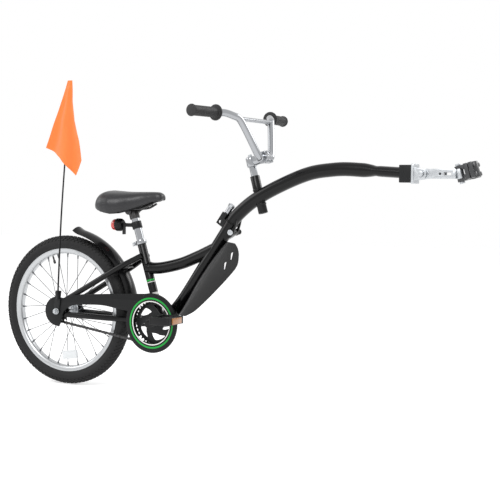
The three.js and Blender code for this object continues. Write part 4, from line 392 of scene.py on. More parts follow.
def add(tree, kind, settings=None, **links):
    """Adds a node. settings are its own values and constants of its sockets, links what feeds them."""
    node = tree.nodes.new(kind)
    for key, value in (settings or {}).items():
        if isinstance(key, int) or key in node.inputs:
            node.inputs[key].default_value = value
        else:
            setattr(node, key, value)
    for key, source in links.items():
        socket = node.inputs[int(key[1:])] if key[0] == "i" and key[1:].isdigit() else node.inputs[
            key.replace("_", " ")]
        tree.links.new(source, socket)
    return node


def new_material(name, code, roughness, metallic=0.0, **settings):
    """A material with its shader, and the object's own coordinates in millimetres."""
    material = bpy.data.materials.new(name)
    material.use_nodes = True
    tree = material.node_tree
    shader = tree.nodes["Principled BSDF"]
    shader.inputs["Base Color"].default_value = code if isinstance(code, tuple) else from_hex(code)
    shader.inputs["Roughness"].default_value = roughness
    shader.inputs["Metallic"].default_value = metallic
    for key, value in settings.items():
        shader.inputs[key.replace("_", " ")].default_value = value
    where = add(tree, "ShaderNodeTexCoord").outputs["Object"]
    scaled = add(tree, "ShaderNodeVectorMath", {"operation": "SCALE", "Scale": 1000.0}, i0=where)
    return material, tree, shader, scaled.outputs[0]


def noise(tree, where, scale, detail):
    """A noise over a place, from 0 to 1."""
    return add(tree, "ShaderNodeTexNoise", {"Scale": scale, "Detail": detail}, Vector=where).outputs[0]


def bump(tree, shader, height, distance, strength=0.6):
    """Gives the shader a bump of a real height in millimetres."""
    node = add(tree, "ShaderNodeBump", {"Strength": strength, "Distance": distance * MM}, Height=height)
    tree.links.new(node.outputs[0], shader.inputs["Normal"])


def between(tree, value, low, high):
    """Maps 0 to 1 onto low to high."""
    return add(tree, "ShaderNodeMapRange", {"To Min": low, "To Max": high}, Value=value).outputs[0]


def rough(tree, shader, value, low, high):
    """Lets the shader's roughness run from low to high."""
    tree.links.new(between(tree, value, low, high), shader.inputs["Roughness"])


def blended(tree, shader, value, low, high):
    """Lets the shader's colour run from one hex value to another."""
    mix = add(tree, "ShaderNodeMix", {"data_type": "RGBA", 6: from_hex(low), 7: from_hex(high)},
              Factor=value)
    tree.links.new(mix.outputs[2], shader.inputs["Base Color"])


def gloss_paint(name, code):
    """Powder coat: a clear gloss over a colour, with the faint orange peel it dries with."""
    material, tree, shader, where = new_material(name, code, 0.22, Coat_Weight=0.1, Coat_Roughness=0.08,
                                                 Specular_IOR_Level=0.2)
    peel = noise(tree, where, 0.45, 1.0)
    dust = noise(tree, where, 0.03, 4.0)
    bump(tree, shader, peel, 0.02)
    rough(tree, shader, dust, 0.14, 0.3)
    return material


def banded(material, measure, scale, stops):
    """Gives a material plain bands of colour by a distance in metres, which measure works out from the
    place seen from the bottom bracket. A stop is a distance times scale and the colour from there on."""
    tree = material.node_tree
    where = add(tree, "ShaderNodeTexCoord").outputs["Object"]
    away = add(tree, "ShaderNodeVectorMath", {"operation": "SUBTRACT", 1: tuple(place(BRACKET))},
               i0=where)
    ramp = add(tree, "ShaderNodeValToRGB")
    scaled = add(tree, "ShaderNodeMath", {"operation": "MULTIPLY", 1: scale},
                 i0=measure(tree, away.outputs[0]))
    tree.links.new(scaled.outputs[0], ramp.inputs[0])
    ramp.color_ramp.interpolation = "CONSTANT"
    for i, (spot, shade) in enumerate(stops):
        stop = ramp.color_ramp.elements[i] if i < 1 else ramp.color_ramp.elements.new(spot)
        stop.position = spot
        stop.color = tuple(shade) + (1.0,)
    ramp.color_ramp.elements.remove(ramp.color_ramp.elements[-1])
    tree.links.new(ramp.outputs[0], tree.nodes["Principled BSDF"].inputs["Base Color"])
    return material


def seat_tube_paint(name, sizes):
    """Black powder coat with the painted bands of the seat tube, set by their distance along it."""
    def along(tree, away):
        return add(tree, "ShaderNodeVectorMath", {"operation": "DOT_PRODUCT", 1: tuple(SEAT_SLOPE)},
                   i0=away).outputs["Value"]
    stops = [(0.0, sizes.paint), (0.44, sizes.white_stripe), (0.478, sizes.paint),
             (0.652, sizes.white_stripe), (0.664, sizes.paint), (0.673, sizes.green_stripe),
             (0.7, sizes.paint)]
    return banded(gloss_paint(name, tuple(sizes.paint) + (1.0,)), along, 5.0, stops)


def chrome(name):
    """Bright chrome plate with faint polishing haze."""
    material, tree, shader, where = new_material(name, "#A2A4A7", 0.08, 1.0)
    haze = noise(tree, where, 0.05, 5.0)
    rough(tree, shader, haze, 0.05, 0.16)
    return material


def plated_steel(name, code="#B9BCBF", roughness=0.34):
    """Zinc plated steel, with the soft grain of drawn wire and pressed plate."""
    material, tree, shader, where = new_material(name, code, roughness, 1.0)
    grain = noise(tree, where, 1.4, 3.0)
    cloud = noise(tree, where, 0.06, 3.0)
    bump(tree, shader, grain, 0.03, 0.5)
    rough(tree, shader, cloud, roughness - 0.1, roughness + 0.12)
    return material


def dark_steel(name):
    """Oiled steel of chains, cogs and saddle rails, browner where the oil has gathered."""
    material, tree, shader, where = new_material(name, "#4A4A4C", 0.38, 1.0)
    oil = noise(tree, where, 0.12, 4.0)
    blended(tree, shader, oil, "#5A5B5E", "#35312C")
    rough(tree, shader, oil, 0.28, 0.5)
    return material


def brushed_rim(name):
    """Brushed aluminium whose fine lines run round the rim, by distance from the axle."""
    material, tree, shader, where = new_material(name, "#B9BBBD", 0.3, 1.0)
    centred = add(tree, "ShaderNodeVectorMath", {"operation": "SUBTRACT", 1: tuple(place(AXLE) / MM)},
                  i0=where).outputs[0]
    split = add(tree, "ShaderNodeSeparateXYZ", i0=centred)
    square = [add(tree, "ShaderNodeMath", {"operation": "POWER", 1: 2.0}, i0=split.outputs[k]).outputs[0]
              for k in (0, 2)]
    total = add(tree, "ShaderNodeMath", {"operation": "ADD"}, i0=square[0], i1=square[1])
    radius = add(tree, "ShaderNodeMath", {"operation": "SQRT"}, i0=total.outputs[0]).outputs[0]
    ring = add(tree, "ShaderNodeCombineXYZ", {}, X=radius, Y=split.outputs[1])
    lines = noise(tree, ring.outputs[0], 5.0, 2.0)
    bump(tree, shader, lines, 0.03)
    rough(tree, shader, lines, 0.24, 0.4)
    return material


def tyre_rubber(name):
    """Black tyre rubber, greyer where dust sits, with the fine grain of the mould."""
    material, tree, shader, where = new_material(name, "#171718", 0.62, Specular_IOR_Level=0.3)
    grain = noise(tree, where, 1.1, 4.0)
    dust = noise(tree, where, 0.04, 5.0)
    blended(tree, shader, dust, "#0D0D0E", "#19191A")
    bump(tree, shader, grain, 0.08)
    return material


def grip_rubber(name):
    """Soft black rubber of the grips."""
    material, tree, shader, where = new_material(name, "#141415", 0.55)
    grain = noise(tree, where, 1.6, 3.0)
    bump(tree, shader, grain, 0.06)
    return material


def moulded(name, code, roughness, grain=0.05, scale=1.2):
    """Moulded plastic with the fine spark texture of its tool."""
    material, tree, shader, where = new_material(name, code, roughness, Specular_IOR_Level=0.22)
    spark = noise(tree, where, scale, 3.0)
    wear = noise(tree, where, 0.03, 4.0)
    bump(tree, shader, spark, grain)
    rough(tree, shader, wear, roughness - 0.07, roughness + 0.1)
    return material


def guard_plastic(name, sizes):
    """Dark satin plastic of the chain guard with its two painted rings, by distance from the crank."""
    def radius(tree, away):
        level = add(tree, "ShaderNodeVectorMath", {"operation": "MULTIPLY", 1: (1.0, 0.0, 1.0)}, i0=away)
        return add(tree, "ShaderNodeVectorMath", {"operation": "LENGTH"},
                   i0=level.outputs[0]).outputs["Value"]
    stops = [(0.0, sizes.plastic), (0.681, sizes.white_stripe), (0.713, sizes.plastic),
             (0.762, sizes.green_stripe), (0.818, sizes.plastic)]
    return banded(moulded(name, tuple(sizes.plastic) + (1.0,), 0.36), radius, 10.0, stops)


def seat_vinyl(name):
    """Black saddle vinyl with a pebbled leather grain."""
    material, tree, shader, where = new_material(name, "#1B1B1E", 0.46)
    pebble = add(tree, "ShaderNodeTexVoronoi", {"Scale": 0.75}, Vector=where)
    broad = noise(tree, where, 0.05, 4.0)
    bump(tree, shader, pebble.outputs[0], 0.16, 0.7)
    rough(tree, shader, broad, 0.27, 0.44)
    return material


def reflector(name, code):
    """Moulded reflector: clear tinted acrylic over a grid of small prisms, with a painted glint and
    painted shade on each prism in its colour.
    """
    material, tree, shader, where = new_material(name, code, 0.12, Coat_Weight=0.8, Coat_Roughness=0.05)
    cells = add(tree, "ShaderNodeTexVoronoi", {"Scale": 0.42, "Randomness": 0.0, "distance": "CHEBYCHEV"},
                Vector=where)
    # Painted glint and painted shade: each cell's colour is brighter at its middle and darker towards the
    # grooves between the prisms.
    mix = add(tree, "ShaderNodeMix", {"data_type": "RGBA", "blend_type": "MULTIPLY", "Factor": 0.5},
              i7=between(tree, cells.outputs[0], 1.25, 0.45))
    mix.inputs[6].default_value = from_hex(code)
    tree.links.new(mix.outputs[2], shader.inputs["Base Color"])
    bump(tree, shader, cells.outputs[0], 0.25, 0.7)
    return material


def lamp_lens(name):
    """Red lens of the rear light, ribbed on its inside, with painted highlights and painted shade along
    the ribs in its colour.
    """
    material, tree, shader, where = new_material(name, "#C4231C", 0.1, Coat_Weight=1.0,
                                                 Coat_Roughness=0.03)
    ribs = add(tree, "ShaderNodeTexWave", {"bands_direction": "Z", "Scale": 0.16}, Vector=where)
    # Painted highlight and painted shade: the colour runs from darker to lighter red across each rib.
    blended(tree, shader, ribs.outputs[0], "#A3130F", "#E0443A")
    bump(tree, shader, ribs.outputs[0], 0.2, 0.5)
    return material


def flag_nylon(name, sizes):
    """Orange nylon: a fine plain weave that lets some light through."""
    code = tuple(sizes.flag_colour) + (1.0,)
    material, tree, shader, where = new_material(name, code, 0.6, Sheen_Weight=0.3)
    warp = add(tree, "ShaderNodeTexWave", {"bands_direction": "X", "Scale": 0.35, "Distortion": 0.4},
               Vector=where)
    weft = add(tree, "ShaderNodeTexWave", {"bands_direction": "Z", "Scale": 0.35, "Distortion": 0.4},
               Vector=where)
    weave = add(tree, "ShaderNodeMath", {"operation": "ADD"}, i0=warp.outputs[0], i1=weft.outputs[0])
    bump(tree, shader, weave.outputs[0], 0.08)
    glow = add(tree, "ShaderNodeBsdfTranslucent", {"Color": code})
    mixed = add(tree, "ShaderNodeMixShader", {"Fac": 0.3}, i1=shader.outputs[0], i2=glow.outputs[0])
    tree.links.new(mixed.outputs[0], tree.nodes["Material Output"].inputs["Surface"])
    return material


def clamp_alloy(name):
    """Cast aluminium alloy of the hitch clamp, painted dark grey and lightly textured."""
    material, tree, shader, where = new_material(name, "#2C2D2F", 0.42, Coat_Weight=0.2)
    cast = noise(tree, where, 0.5, 5.0)
    bump(tree, shader, cast, 0.12, 0.7)
    return material


MATERIALS = {}


def material_for(key):
    """The material of one kind, made the first time it is asked for."""
    sizes = bpy.context.scene.trailer_bike
    makers = {
        "paint": lambda: gloss_paint("black_powder_coat", tuple(sizes.paint) + (1.0,)),
        "seat_tube": lambda: seat_tube_paint("striped_powder_coat", sizes),
        "satin": lambda: moulded("satin_black_paint", "#191A1B", 0.4, 0.03, 0.8),
        "chrome": lambda: chrome("chrome_plate"),
        "zinc": lambda: plated_steel("zinc_plated_steel"),
        "spoke": lambda: plated_steel("stainless_spoke_wire", "#66686B", 0.42),
        "dark_steel": lambda: dark_steel("oiled_steel"),
        "rim": lambda: brushed_rim("brushed_rim_aluminium"),
        "tyre": lambda: tyre_rubber("tyre_rubber"),
        "grip": lambda: grip_rubber("grip_rubber"),
        "plastic": lambda: moulded("black_plastic", "#161617", 0.4),
        "guard": lambda: guard_plastic("ringed_guard_plastic", sizes),
        "splash": lambda: moulded("splash_guard_plastic", "#131314", 0.42, 0.06),
        "fender": lambda: moulded("gloss_fender_plastic", "#131314", 0.17, 0.015, 0.4),
        "vinyl": lambda: seat_vinyl("saddle_vinyl"),
        "amber": lambda: reflector("amber_reflector", "#985F22"),
        "clear": lambda: reflector("clear_reflector", "#D5D8DA"),
        "lens": lambda: lamp_lens("red_lamp_lens"),
        "flag": lambda: flag_nylon("orange_flag_nylon", sizes),
        "pole": lambda: moulded("fibreglass_pole", "#121213", 0.35, 0.04, 0.6),
        "alloy": lambda: clamp_alloy("clamp_alloy"),
    }
    if key not in MATERIALS:
        MATERIALS[key] = makers[key]()
    return MATERIALS[key]


# Repeated pieces

def copying_tree():
    """Nodes that put a copy of a piece on each point, turned about the bike's cross axis by the
    point's own turn."""
    if "Copies On Points" in bpy.data.node_groups:
        return bpy.data.node_groups["Copies On Points"]
    tree = bpy.data.node_groups.new("Copies On Points", "GeometryNodeTree")
    tree.interface.new_socket("Points", in_out="INPUT", socket_type="NodeSocketGeometry")
    tree.interface.new_socket("Piece", in_out="INPUT", socket_type="NodeSocketObject")
    tree.interface.new_socket("Finish", in_out="INPUT", socket_type="NodeSocketMaterial")
    tree.interface.new_socket("Geometry", in_out="OUTPUT", socket_type="NodeSocketGeometry")
    given = add(tree, "NodeGroupInput").outputs
    master = add(tree, "GeometryNodeObjectInfo", {"transform_space": "ORIGINAL"}, Object=given["Piece"])
    turn = add(tree, "GeometryNodeInputNamedAttribute", {"data_type": "FLOAT", "Name": "turn"})
    angles = add(tree, "ShaderNodeCombineXYZ", {}, Y=turn.outputs[0])
    placed = add(tree, "GeometryNodeInstanceOnPoints", {}, Points=given["Points"],
                 Instance=master.outputs["Geometry"], Rotation=angles.outputs[0])
    real = add(tree, "GeometryNodeRealizeInstances", {}, Geometry=placed.outputs[0])
    painted = add(tree, "GeometryNodeSetMaterial", {}, Geometry=real.outputs[0], Material=given["Finish"])
    add(tree, "NodeGroupOutput", {}, Geometry=painted.outputs[0])
    return tree


def copies(name, master, places, finish):
    """One plain mesh of a copy of master at each (place, turn). The master is built round the foot
    point, and a turn goes from forward towards up."""
    master.data.transform(Matrix.Translation(-FOOT))
    mesh = bpy.data.meshes.new(name)
    mesh.from_pydata([tuple(place(spot)) for spot, turn in places], [], [])
    turns = mesh.attributes.new("turn", "FLOAT", "POINT")
    turns.data.foreach_set("value", [-turn for spot, turn in places])
    piece = linked(name, mesh)
    tree = copying_tree()
    modifier = piece.modifiers.new("copies", "NODES")
    modifier.node_group = tree
    sockets = {item.name: item.identifier for item in tree.interface.items_tree if item.in_out == "INPUT"}
    modifier[sockets["Piece"]] = master
    modifier[sockets["Finish"]] = material_for(finish)
    baked(piece, 40)
    deleted(master)
    return piece


def ring(count):
    """Places and turns for copies all round the axle."""
    return [(AXLE, 2 * math.pi * i / count) for i in range(count)]


def rounded_box(name, centre, size, edge, turn=None, segments=3):
    """A box with rounded edges. turn is its rotation matrix."""
    half = Vector(size) / 2
    turn = turn or Matrix.Identity(3)
    corners = [Vector(centre) + turn @ Vector((x * half.x, y * half.y, z * half.z))
               for x in (-1, 1) for y in (-1, 1) for z in (-1, 1)]
    faces = [(0, 1, 3, 2), (4, 6, 7, 5), (0, 4, 5, 1), (2, 3, 7, 6), (0, 2, 6, 4), (1, 5, 7, 3)]
    return modified(shape(name, corners, faces), "BEVEL", 40, width=edge * MM, segments=segments,
                    limit_method="NONE")


def rod(name, start, end, radius, sides, edge):
    """A round bar between two places with softened ends."""
    start, end = Vector(start), Vector(end)
    length = (end - start).length
    profile = [(0, 0), (radius - edge, 0), (radius, edge), (radius, length - edge),
               (radius - edge, length), (0, length)]
    return lathed(name, profile, start, end - start, sides)


def weld(centre, axis, radius, size):
    """A smooth bead of weld in a ring round a tube."""
    profile = [(radius - 0.6 + size * math.cos(t), size * 1.3 * math.sin(t))
               for t in (2 * math.pi * k / 10 for k in range(10))]
    return lathed("weld", profile, centre, axis, 40, loop=True)


# The operators of the pieces

class BikeOperator(bpy.types.Operator):
    """Shared parts of the operators that build a group of pieces"""
    bl_options = {"REGISTER", "UNDO"}

    def execute(self, context):
        """Builds the group with the sizes that are set."""
        self.build(context.scene.trailer_bike)
        return {"FINISHED"}


class TRAILERBIKE_OT_wheel(BikeOperator):
    """Tyre with its tread, rim, hub, spokes, valve and reflector"""
    bl_idname = "trailer_bike.wheel"
    bl_label = "Wheel"

    def build(self, sizes):
        deep = sizes.tread_depth / MM
        section, centre = TYRE_HALF - deep, TYRE_RADIUS
        rounded = [(centre + section * math.cos(math.radians(t)), section * math.sin(math.radians(t)))
                   for t in range(-122, 123, 8)]
        inner = [(centre + 20 * math.cos(math.radians(t)), 20 * math.sin(math.radians(t)))
                 for t in range(118, -119, -14)]
        bead = [(211, 17.6), (209.6, 16.2), (209.4, 12.2), (204.6, 11.4), (203.6, 9.4), (206.5, 8.6)]
        profile = rounded + bead + inner + [(r, -y) for r, y in reversed(bead)]
        tyre = lathed("tyre_carcass", profile, AXLE, ACROSS, 180, loop=True, sharp=50)

        def block(tilt, out, wide, long, lead):
            """A tread block: tilt round the section in degrees, sizes in millimetres."""
            lean = math.radians(tilt)
            reach = section + out / 2 - 0.7
            spot = Vector((0, reach * math.sin(lean), centre + reach * math.cos(lean)))
            turn = Matrix.Rotation(-lean, 3, "X") @ Matrix.Rotation(lead, 3, "Z")
            return rounded_box("block", spot, (long, wide, out + 1.4), 0.5, turn, 1)

        rows = [(0, 8.5, 7.4, 0.0, 0.0), (21, 7.5, 8.6, 0.25, 0.5), (-21, 7.5, 8.6, -0.25, 0.5),
                (43, 8.5, 6.4, 0.0, 0.0), (-43, 8.5, 6.4, 0.0, 0.0), (62, 6.0, 8.6, -0.1, 0.5),
                (-62, 6.0, 8.6, 0.1, 0.5)]
        blocks = []
        step = 2 * math.pi / sizes.tread_blocks
        for tilt, wide, long, lead, late in rows:
            one = block(tilt, deep, wide, long, lead)
            one.data.transform(Matrix.Translation(FOOT)
                               @ Matrix.Rotation(late * step, 4, "Y") @ Matrix.Translation(-FOOT))
            blocks.append(one)
        tread = copies("tyre_tread", one_piece("sector", *blocks), ring(sizes.tread_blocks),
                       "tyre")
        dressed(tyre, "tyre", "wheel", "tyre")
        dressed(tread, "tyre", "wheel", "tyre")

        side = [(209, 16), (206, 16), (198.5, 15.4), (194, 12.5), (191.3, 7), (191, 0)]
        channel = [(209, 13.4), (208, 12.6), (204, 12.4), (202.4, 10), (201.8, 6), (201.8, 0)]
        loop = ([(r, -y) for r, y in side] + side[::-1][1:] + channel
                + [(r, -y) for r, y in channel[::-1][1:]])
        rim = lathed("rim", loop, AXLE, ACROSS, 180, loop=True, sharp=50)
        dressed(rim, "rim", "wheel", "rim")

        hub = [(6.8, -28.4), (11.6, -28.4), (12.6, -27.6), (12.6, -26.8), (22.4, -26.7), (23, -26.1),
               (23, -23.9), (22.4, -23.3), (15.2, -23.0), (13.0, -20.5), (12.4, -16), (12.4, 16),
               (13.0, 20.5), (15.2, 23.0), (22.4, 23.3), (23, 23.9), (23, 26.1), (22.4, 26.7),
               (12.6, 26.8), (12.6, 27.6), (11.6, 28.4), (6.8, 28.4)]
        barrel = lathed("hub_barrel", hub, AXLE, ACROSS, 56, loop=True)

        parts = []
        for i in range(4):
            side_way = 1 if i % 2 == 0 else -1
            lead = 0.13 * 2 * math.pi * (1 if i % 4 < 2 else -1)
            rim_turn = 2 * math.pi * i / SPOKES
            start = polar(20.6, rim_turn + lead, side_way * HUB_FLANGE)
            end = polar(190.4, rim_turn)
            along = (end - start).normalized()
            elbow = start + Vector((0, -side_way * 3.4, 0))
            parts.append(swept("spoke", [elbow, start, start + along * 4, end - along * 11, end],
                               1.05, sides=10, lead=along.cross(ACROSS)))
            parts.append(rod("head", start + Vector((0, side_way * 1.2, 0)),
                             start + Vector((0, -side_way * 0.4, 0)), 2.0, 12, 0.4))
            nut = [(0, 0), (1.6, 0), (2.0, 0.6), (2.2, 7.5), (2.9, 9.5), (2.9, 12.6), (0, 12.6)]
            parts.append(lathed("nipple", nut, end - along * 12, along, 12))
        spokes = copies("spokes", one_piece("spoke_group", *parts), ring(SPOKES // 4), "spoke")
        dressed(barrel, "zinc", "wheel", "hub_and_spokes")
        dressed(spokes, "spoke", "wheel", "hub_and_spokes")

        turn = 2 * math.pi * 8.5 / SPOKES
        inward = -polar(1, turn)
        stem = [(0, 0), (3, 0), (3, 12), (2.6, 13), (3.1, 14), (4.0, 14.4), (4.2, 15.5), (4.2, 23.5),
                (3.4, 25.4), (2.0, 26), (0, 26)]
        valve = lathed("valve", stem, AXLE - inward * 189.6, inward, 24)
        dressed(valve, "grip", "wheel", "valve")

        turn = 0.77 * 2 * math.pi
        facing = Matrix.Rotation(-turn, 3, "Y")
        low, high = node_box("wheel_reflector")
        spot = (low + high) / 2
        plate = rounded_box("wheel_reflector", spot, (29, 7.5, 61), 1.6, facing)
        dressed(plate, "clear", "wheel", "wheel_reflector")
        rivets = [rounded_box("clip", spot + facing @ Vector((0, 3.6, z)), (14, 2.4, 9), 0.6, facing, 1)
                  for z in (-17, 17)]
        dressed(one_piece("reflector_clips", *rivets), "plastic", "wheel",
                "wheel_reflector")

        carried_over(*((node, node + "_piece", "frame_body", "zinc", 0.5)
                       for node in ("axle", "axle_nut_near", "axle_nut_far")))


def flattened(full, flat, start, end):
    """A half size that goes smoothly from full to flat between two shares of the way."""
    def size(share):
        t = min(max((share - start) / (end - start), 0), 1)
        t = t * t * (3 - 2 * t)
        return full + (flat - full) * t
    return size


def down_tube_path(count):
    """Places along the down tube's centre line, from the bottom bracket to the fold."""
    top = on_tube(21)
    middle = BRACKET + Vector(((top.x - BRACKET.x) * 0.23, 0, (top.z - BRACKET.z) * 0.144))
    knee = (middle + top) / 2 - Vector((0, 0, 3))
    return spline([Vector(BRACKET), middle, knee, on_tube(-90), top], count)


class TRAILERBIKE_OT_frame(BikeOperator):
    """Seat tube, down tube, top tube, stays, bottom bracket and fold hinge of the frame"""
    bl_idname = "trailer_bike.frame"
    bl_label = "Frame"

    def build(self, sizes):
        scale = 272.9 / 261.4
        bore = [(radius, along * scale) for radius, along in
                [(12.9, 200), (12.9, 261), (13.3, 261.4), (14, 261.4), (14.3, 261), (14.3, 18),
                 (12.9, 18)]]
        seat = lathed("seat_tube", bore, BRACKET, SEAT_SLOPE, 48, loop=True)
        dressed(seat, "seat_tube", "frame_body", "frame")

        down_path = down_tube_path(44)
        down = swept("down_tube", down_path, 20, sides=48)
        joint, far_end = on_seat_tube(408), on_tube(-76)
        shares = [(0, 0), (0.17, 0.01), (0.49, 0.25), (0.73, 0.57), (1, 1)]
        crossing = [Vector((joint.x + (far_end.x - joint.x) * u, 0, joint.z + (far_end.z - joint.z) * w))
                    for u, w in shares]
        top_tube = swept("top_tube", spline(crossing, 36), 19, sides=48)
        drill = rod("post_bore", on_seat_tube(300), on_seat_tube(560), 12.95, 48, 0.1)
        modified(top_tube, "BOOLEAN", 40, operation="DIFFERENCE", object=drill)
        deleted(drill)
        shell = [(17.2, -30), (21, -30), (22, -29), (22, 29), (21, 30), (17.2, 30)]
        shell_piece = lathed("bracket_shell", shell, BRACKET, ACROSS, 56, loop=True)
        beads = [
            weld(on_seat_tube(408) + Vector((13.6, 0, 0)), Vector((1, 0, 0.1)), 18.6, 2.4),
            weld(BRACKET + (down_path[5] - down_path[4]).normalized() * 24.5,
                 down_path[5] - down_path[4], 19.8, 2.6),
            weld(BRACKET + SEAT_SLOPE * 21.5, SEAT_SLOPE, 14.2, 2.4),
        ]
        plate = lathed("hinge_flange", FLANGE, on_tube(21), TUBE_SLOPE, 48)
        tubes = one_piece("frame_tubes", down, top_tube, shell_piece, plate, *beads)
        dressed(tubes, "paint", "frame_body", "frame")
        self.tongue()
        for way, node in ((-1, "stays_near"), (1, "stays_far")):
            self.stays(way, node)
        carried_over(
            ("seat_stay_bridge", "seat_stay_bridge_tube", "frame_body", "paint", 0.4),
            ("chain_stay_bridge", "chain_stay_bridge_tube", "frame_body", "paint", 0.4),
            ("latch_bracket", "latch_lug", "frame_body", "satin", 1.2),
            ("seat_collar", "seat_collar_ring", "frame_body", "chrome", 0.7),
            ("collar_bolt", "collar_bolt_piece", "frame_body", "zinc", 0.4),
            ("bb_cup_near", "bb_cup_near_ring", "frame_body", "zinc", 0.6),
            ("bb_cup_far", "bb_cup_far_ring", "frame_body", "zinc", 0.6))

    def tongue(self):
        """The hinge tongue under the down tube's end, bored for the pivot bolt."""
        eye = [at_fold(x, z) for x, z in arc(0, 0, 10.5, -125, 25, 15)]
        outline = [at_fold(-36, 6), at_fold(-30, 2.5), at_fold(-18, -3.5), *eye,
                   at_fold(10.5, 6), at_fold(12, 12), at_fold(-36, 12)]
        hole = circle(PIVOT.x, PIVOT.z, HINGE_HOLE, 32)
        dressed(cut_plate("hinge_tongue", [outline, hole], -11, 11, 1.0), "paint", "frame_body", "frame")

    def stays(self, way, node):
        """One side's seat stay and chain stay, joined by the dropout plate."""
        parts = []
        for foot, end, shares, ys in (
                (Vector((10, 0, 280.5)), on_seat_tube(448), (0, 0.15, 0.45, 0.76, 1),
                 (50, 50, 46.5, 43, 17)),
                (Vector((10, 0, 242.5)), BRACKET - AHEAD * 11, (0, 0.2, 0.6, 0.82, 1),
                 (50, 46.2, 37.5, 25.8, 22))):
            path = spline([Vector((foot.x + (end.x - foot.x) * s, way * y, foot.z + (end.z - foot.z) * s))
                           for s, y in zip(shares, ys)], 40)
            parts.append(swept("stay", path, flattened(3.8, 9.3, 0.04, 0.3),
                               flattened(9.5, 9.4, 0.04, 0.3), sides=32))
        plate = [*arc(AXLE.x, AXLE.z, 20, 130, 350, 22), (26, 245), (29, 252), (22, 262), (20, 276),
                 (17, 286), (10, 290), (1, 287), (-4, 278), (-12, 268)]
        slot = circle(AXLE.x, AXLE.z, AXLE_HOLE, 32)
        near, far = sorted((way * 47.5, way * 52.5))
        parts.append(cut_plate("dropout", [plate, slot], near, far, 0.7))
        dressed(one_piece(node + "_tubes", *parts), "paint", "frame_body", node)


class TRAILERBIKE_OT_arm(BikeOperator):
    """Curved tow arm with its head tube, fold hinge, latch and end collar"""
    bl_idname = "trailer_bike.arm"
    bl_label = "Tow arm"

    def build(self, sizes):
        start, tip = on_tube(27), on_tube(24) + Vector((554, 0, 154))
        shares = [(0, 0), (0.01, 0.053), (0.058, 0.221), (0.134, 0.429), (0.282, 0.714),
                  (0.478, 0.987), (0.608, 1.056), (0.686, 1.069), (0.789, 1.049), (0.895, 1.023), (1, 1)]
        path = spline([start + Vector(((tip.x - start.x) * u, 0, (tip.z - start.z) * w))
                       for u, w in shares], 110)

        def height(share):
            """The tube's half height: pressed flat at the hitch, with a short groove behind it."""
            flat = flattened(21, 16, 0.8, 0.88)(share)
            return flat - 1.2 * math.exp(-((share - 0.872) / 0.012) ** 2)

        arm = swept("arm_tube", path, flattened(21, 21.6, 0.8, 0.88), height, 56)
        plate = lathed("arm_flange", FLANGE, on_tube(24.3), TUBE_SLOPE, 48)
        tube = [(11.6, -52), (14.4, -52), (14.8, -51.4), (14.8, 65.4), (14.4, 66), (11.6, 66)]
        head = lathed("head_tube", tube, HEAD, HEAD_SLOPE, 48, loop=True)
        beads = [weld(HEAD + HEAD_SLOPE * 22.4, HEAD_SLOPE, 14.8, 2.4),
                 weld(HEAD - HEAD_SLOPE * 23.2, HEAD_SLOPE, 14.8, 2.4)]
        dressed(one_piece("tow_arm_tubes", arm, plate, head, *beads), "paint", "tow_arm_body", "tow_arm")

        ear = [at_fold(x, z) for x, z in [*arc(0, 0, 10.5, 13, 283, 30), (30, -1.0), (44, 4.5), (49, 9),
                                          (49, 16), (27.5, 16), (27.5, 2.6)]]
        hole = [at_fold(x, z) for x, z in circle(0, 0, HINGE_HOLE, 32)]
        ears = [cut_plate("ear", [ear, hole], *sorted((way * 11.3, way * 17.3)), 0.9)
                for way in (-1, 1)]
        dressed(one_piece("hinge_ears", *ears), "paint", "tow_arm_body", "tow_arm")
        carried_over(
            ("arm_collar", "arm_collar_block", "tow_arm_body", "satin", 2.2),
            ("yoke", "yoke_fork", "tow_arm_body", "zinc", 1.0),
            ("fold_bolt", "fold_bolt_piece", "tow_arm_body", "zinc", 0.6),
            ("latch_sleeve", "latch_sleeve_piece", "tow_arm_body", "chrome", 0.6),
            ("latch_bolt", "latch_bolt_piece", "latch", "zinc", 0.6))

        low, high = node_box("fold_knob")
        near, long = low.y, high.y - low.y
        knurl = [(0, 0), (10.4, 0), (11, 0.6), (11, 2.9), (10.4, 3.5), (7.6, 3.9), (7.6, 6.4)]
        knurl += [(8.5 - 0.7 * (k % 2), 7 + (long - 10) * k / 10) for k in range(11)]
        knurl += [(7.2, long - 0.9), (5.6, long), (0, long)]
        knob = lathed("fold_knob_piece", knurl, Vector((PIVOT.x, near, PIVOT.z)), ACROSS, 40)
        dressed(knob, "plastic", "tow_arm_body", "fold_knob")


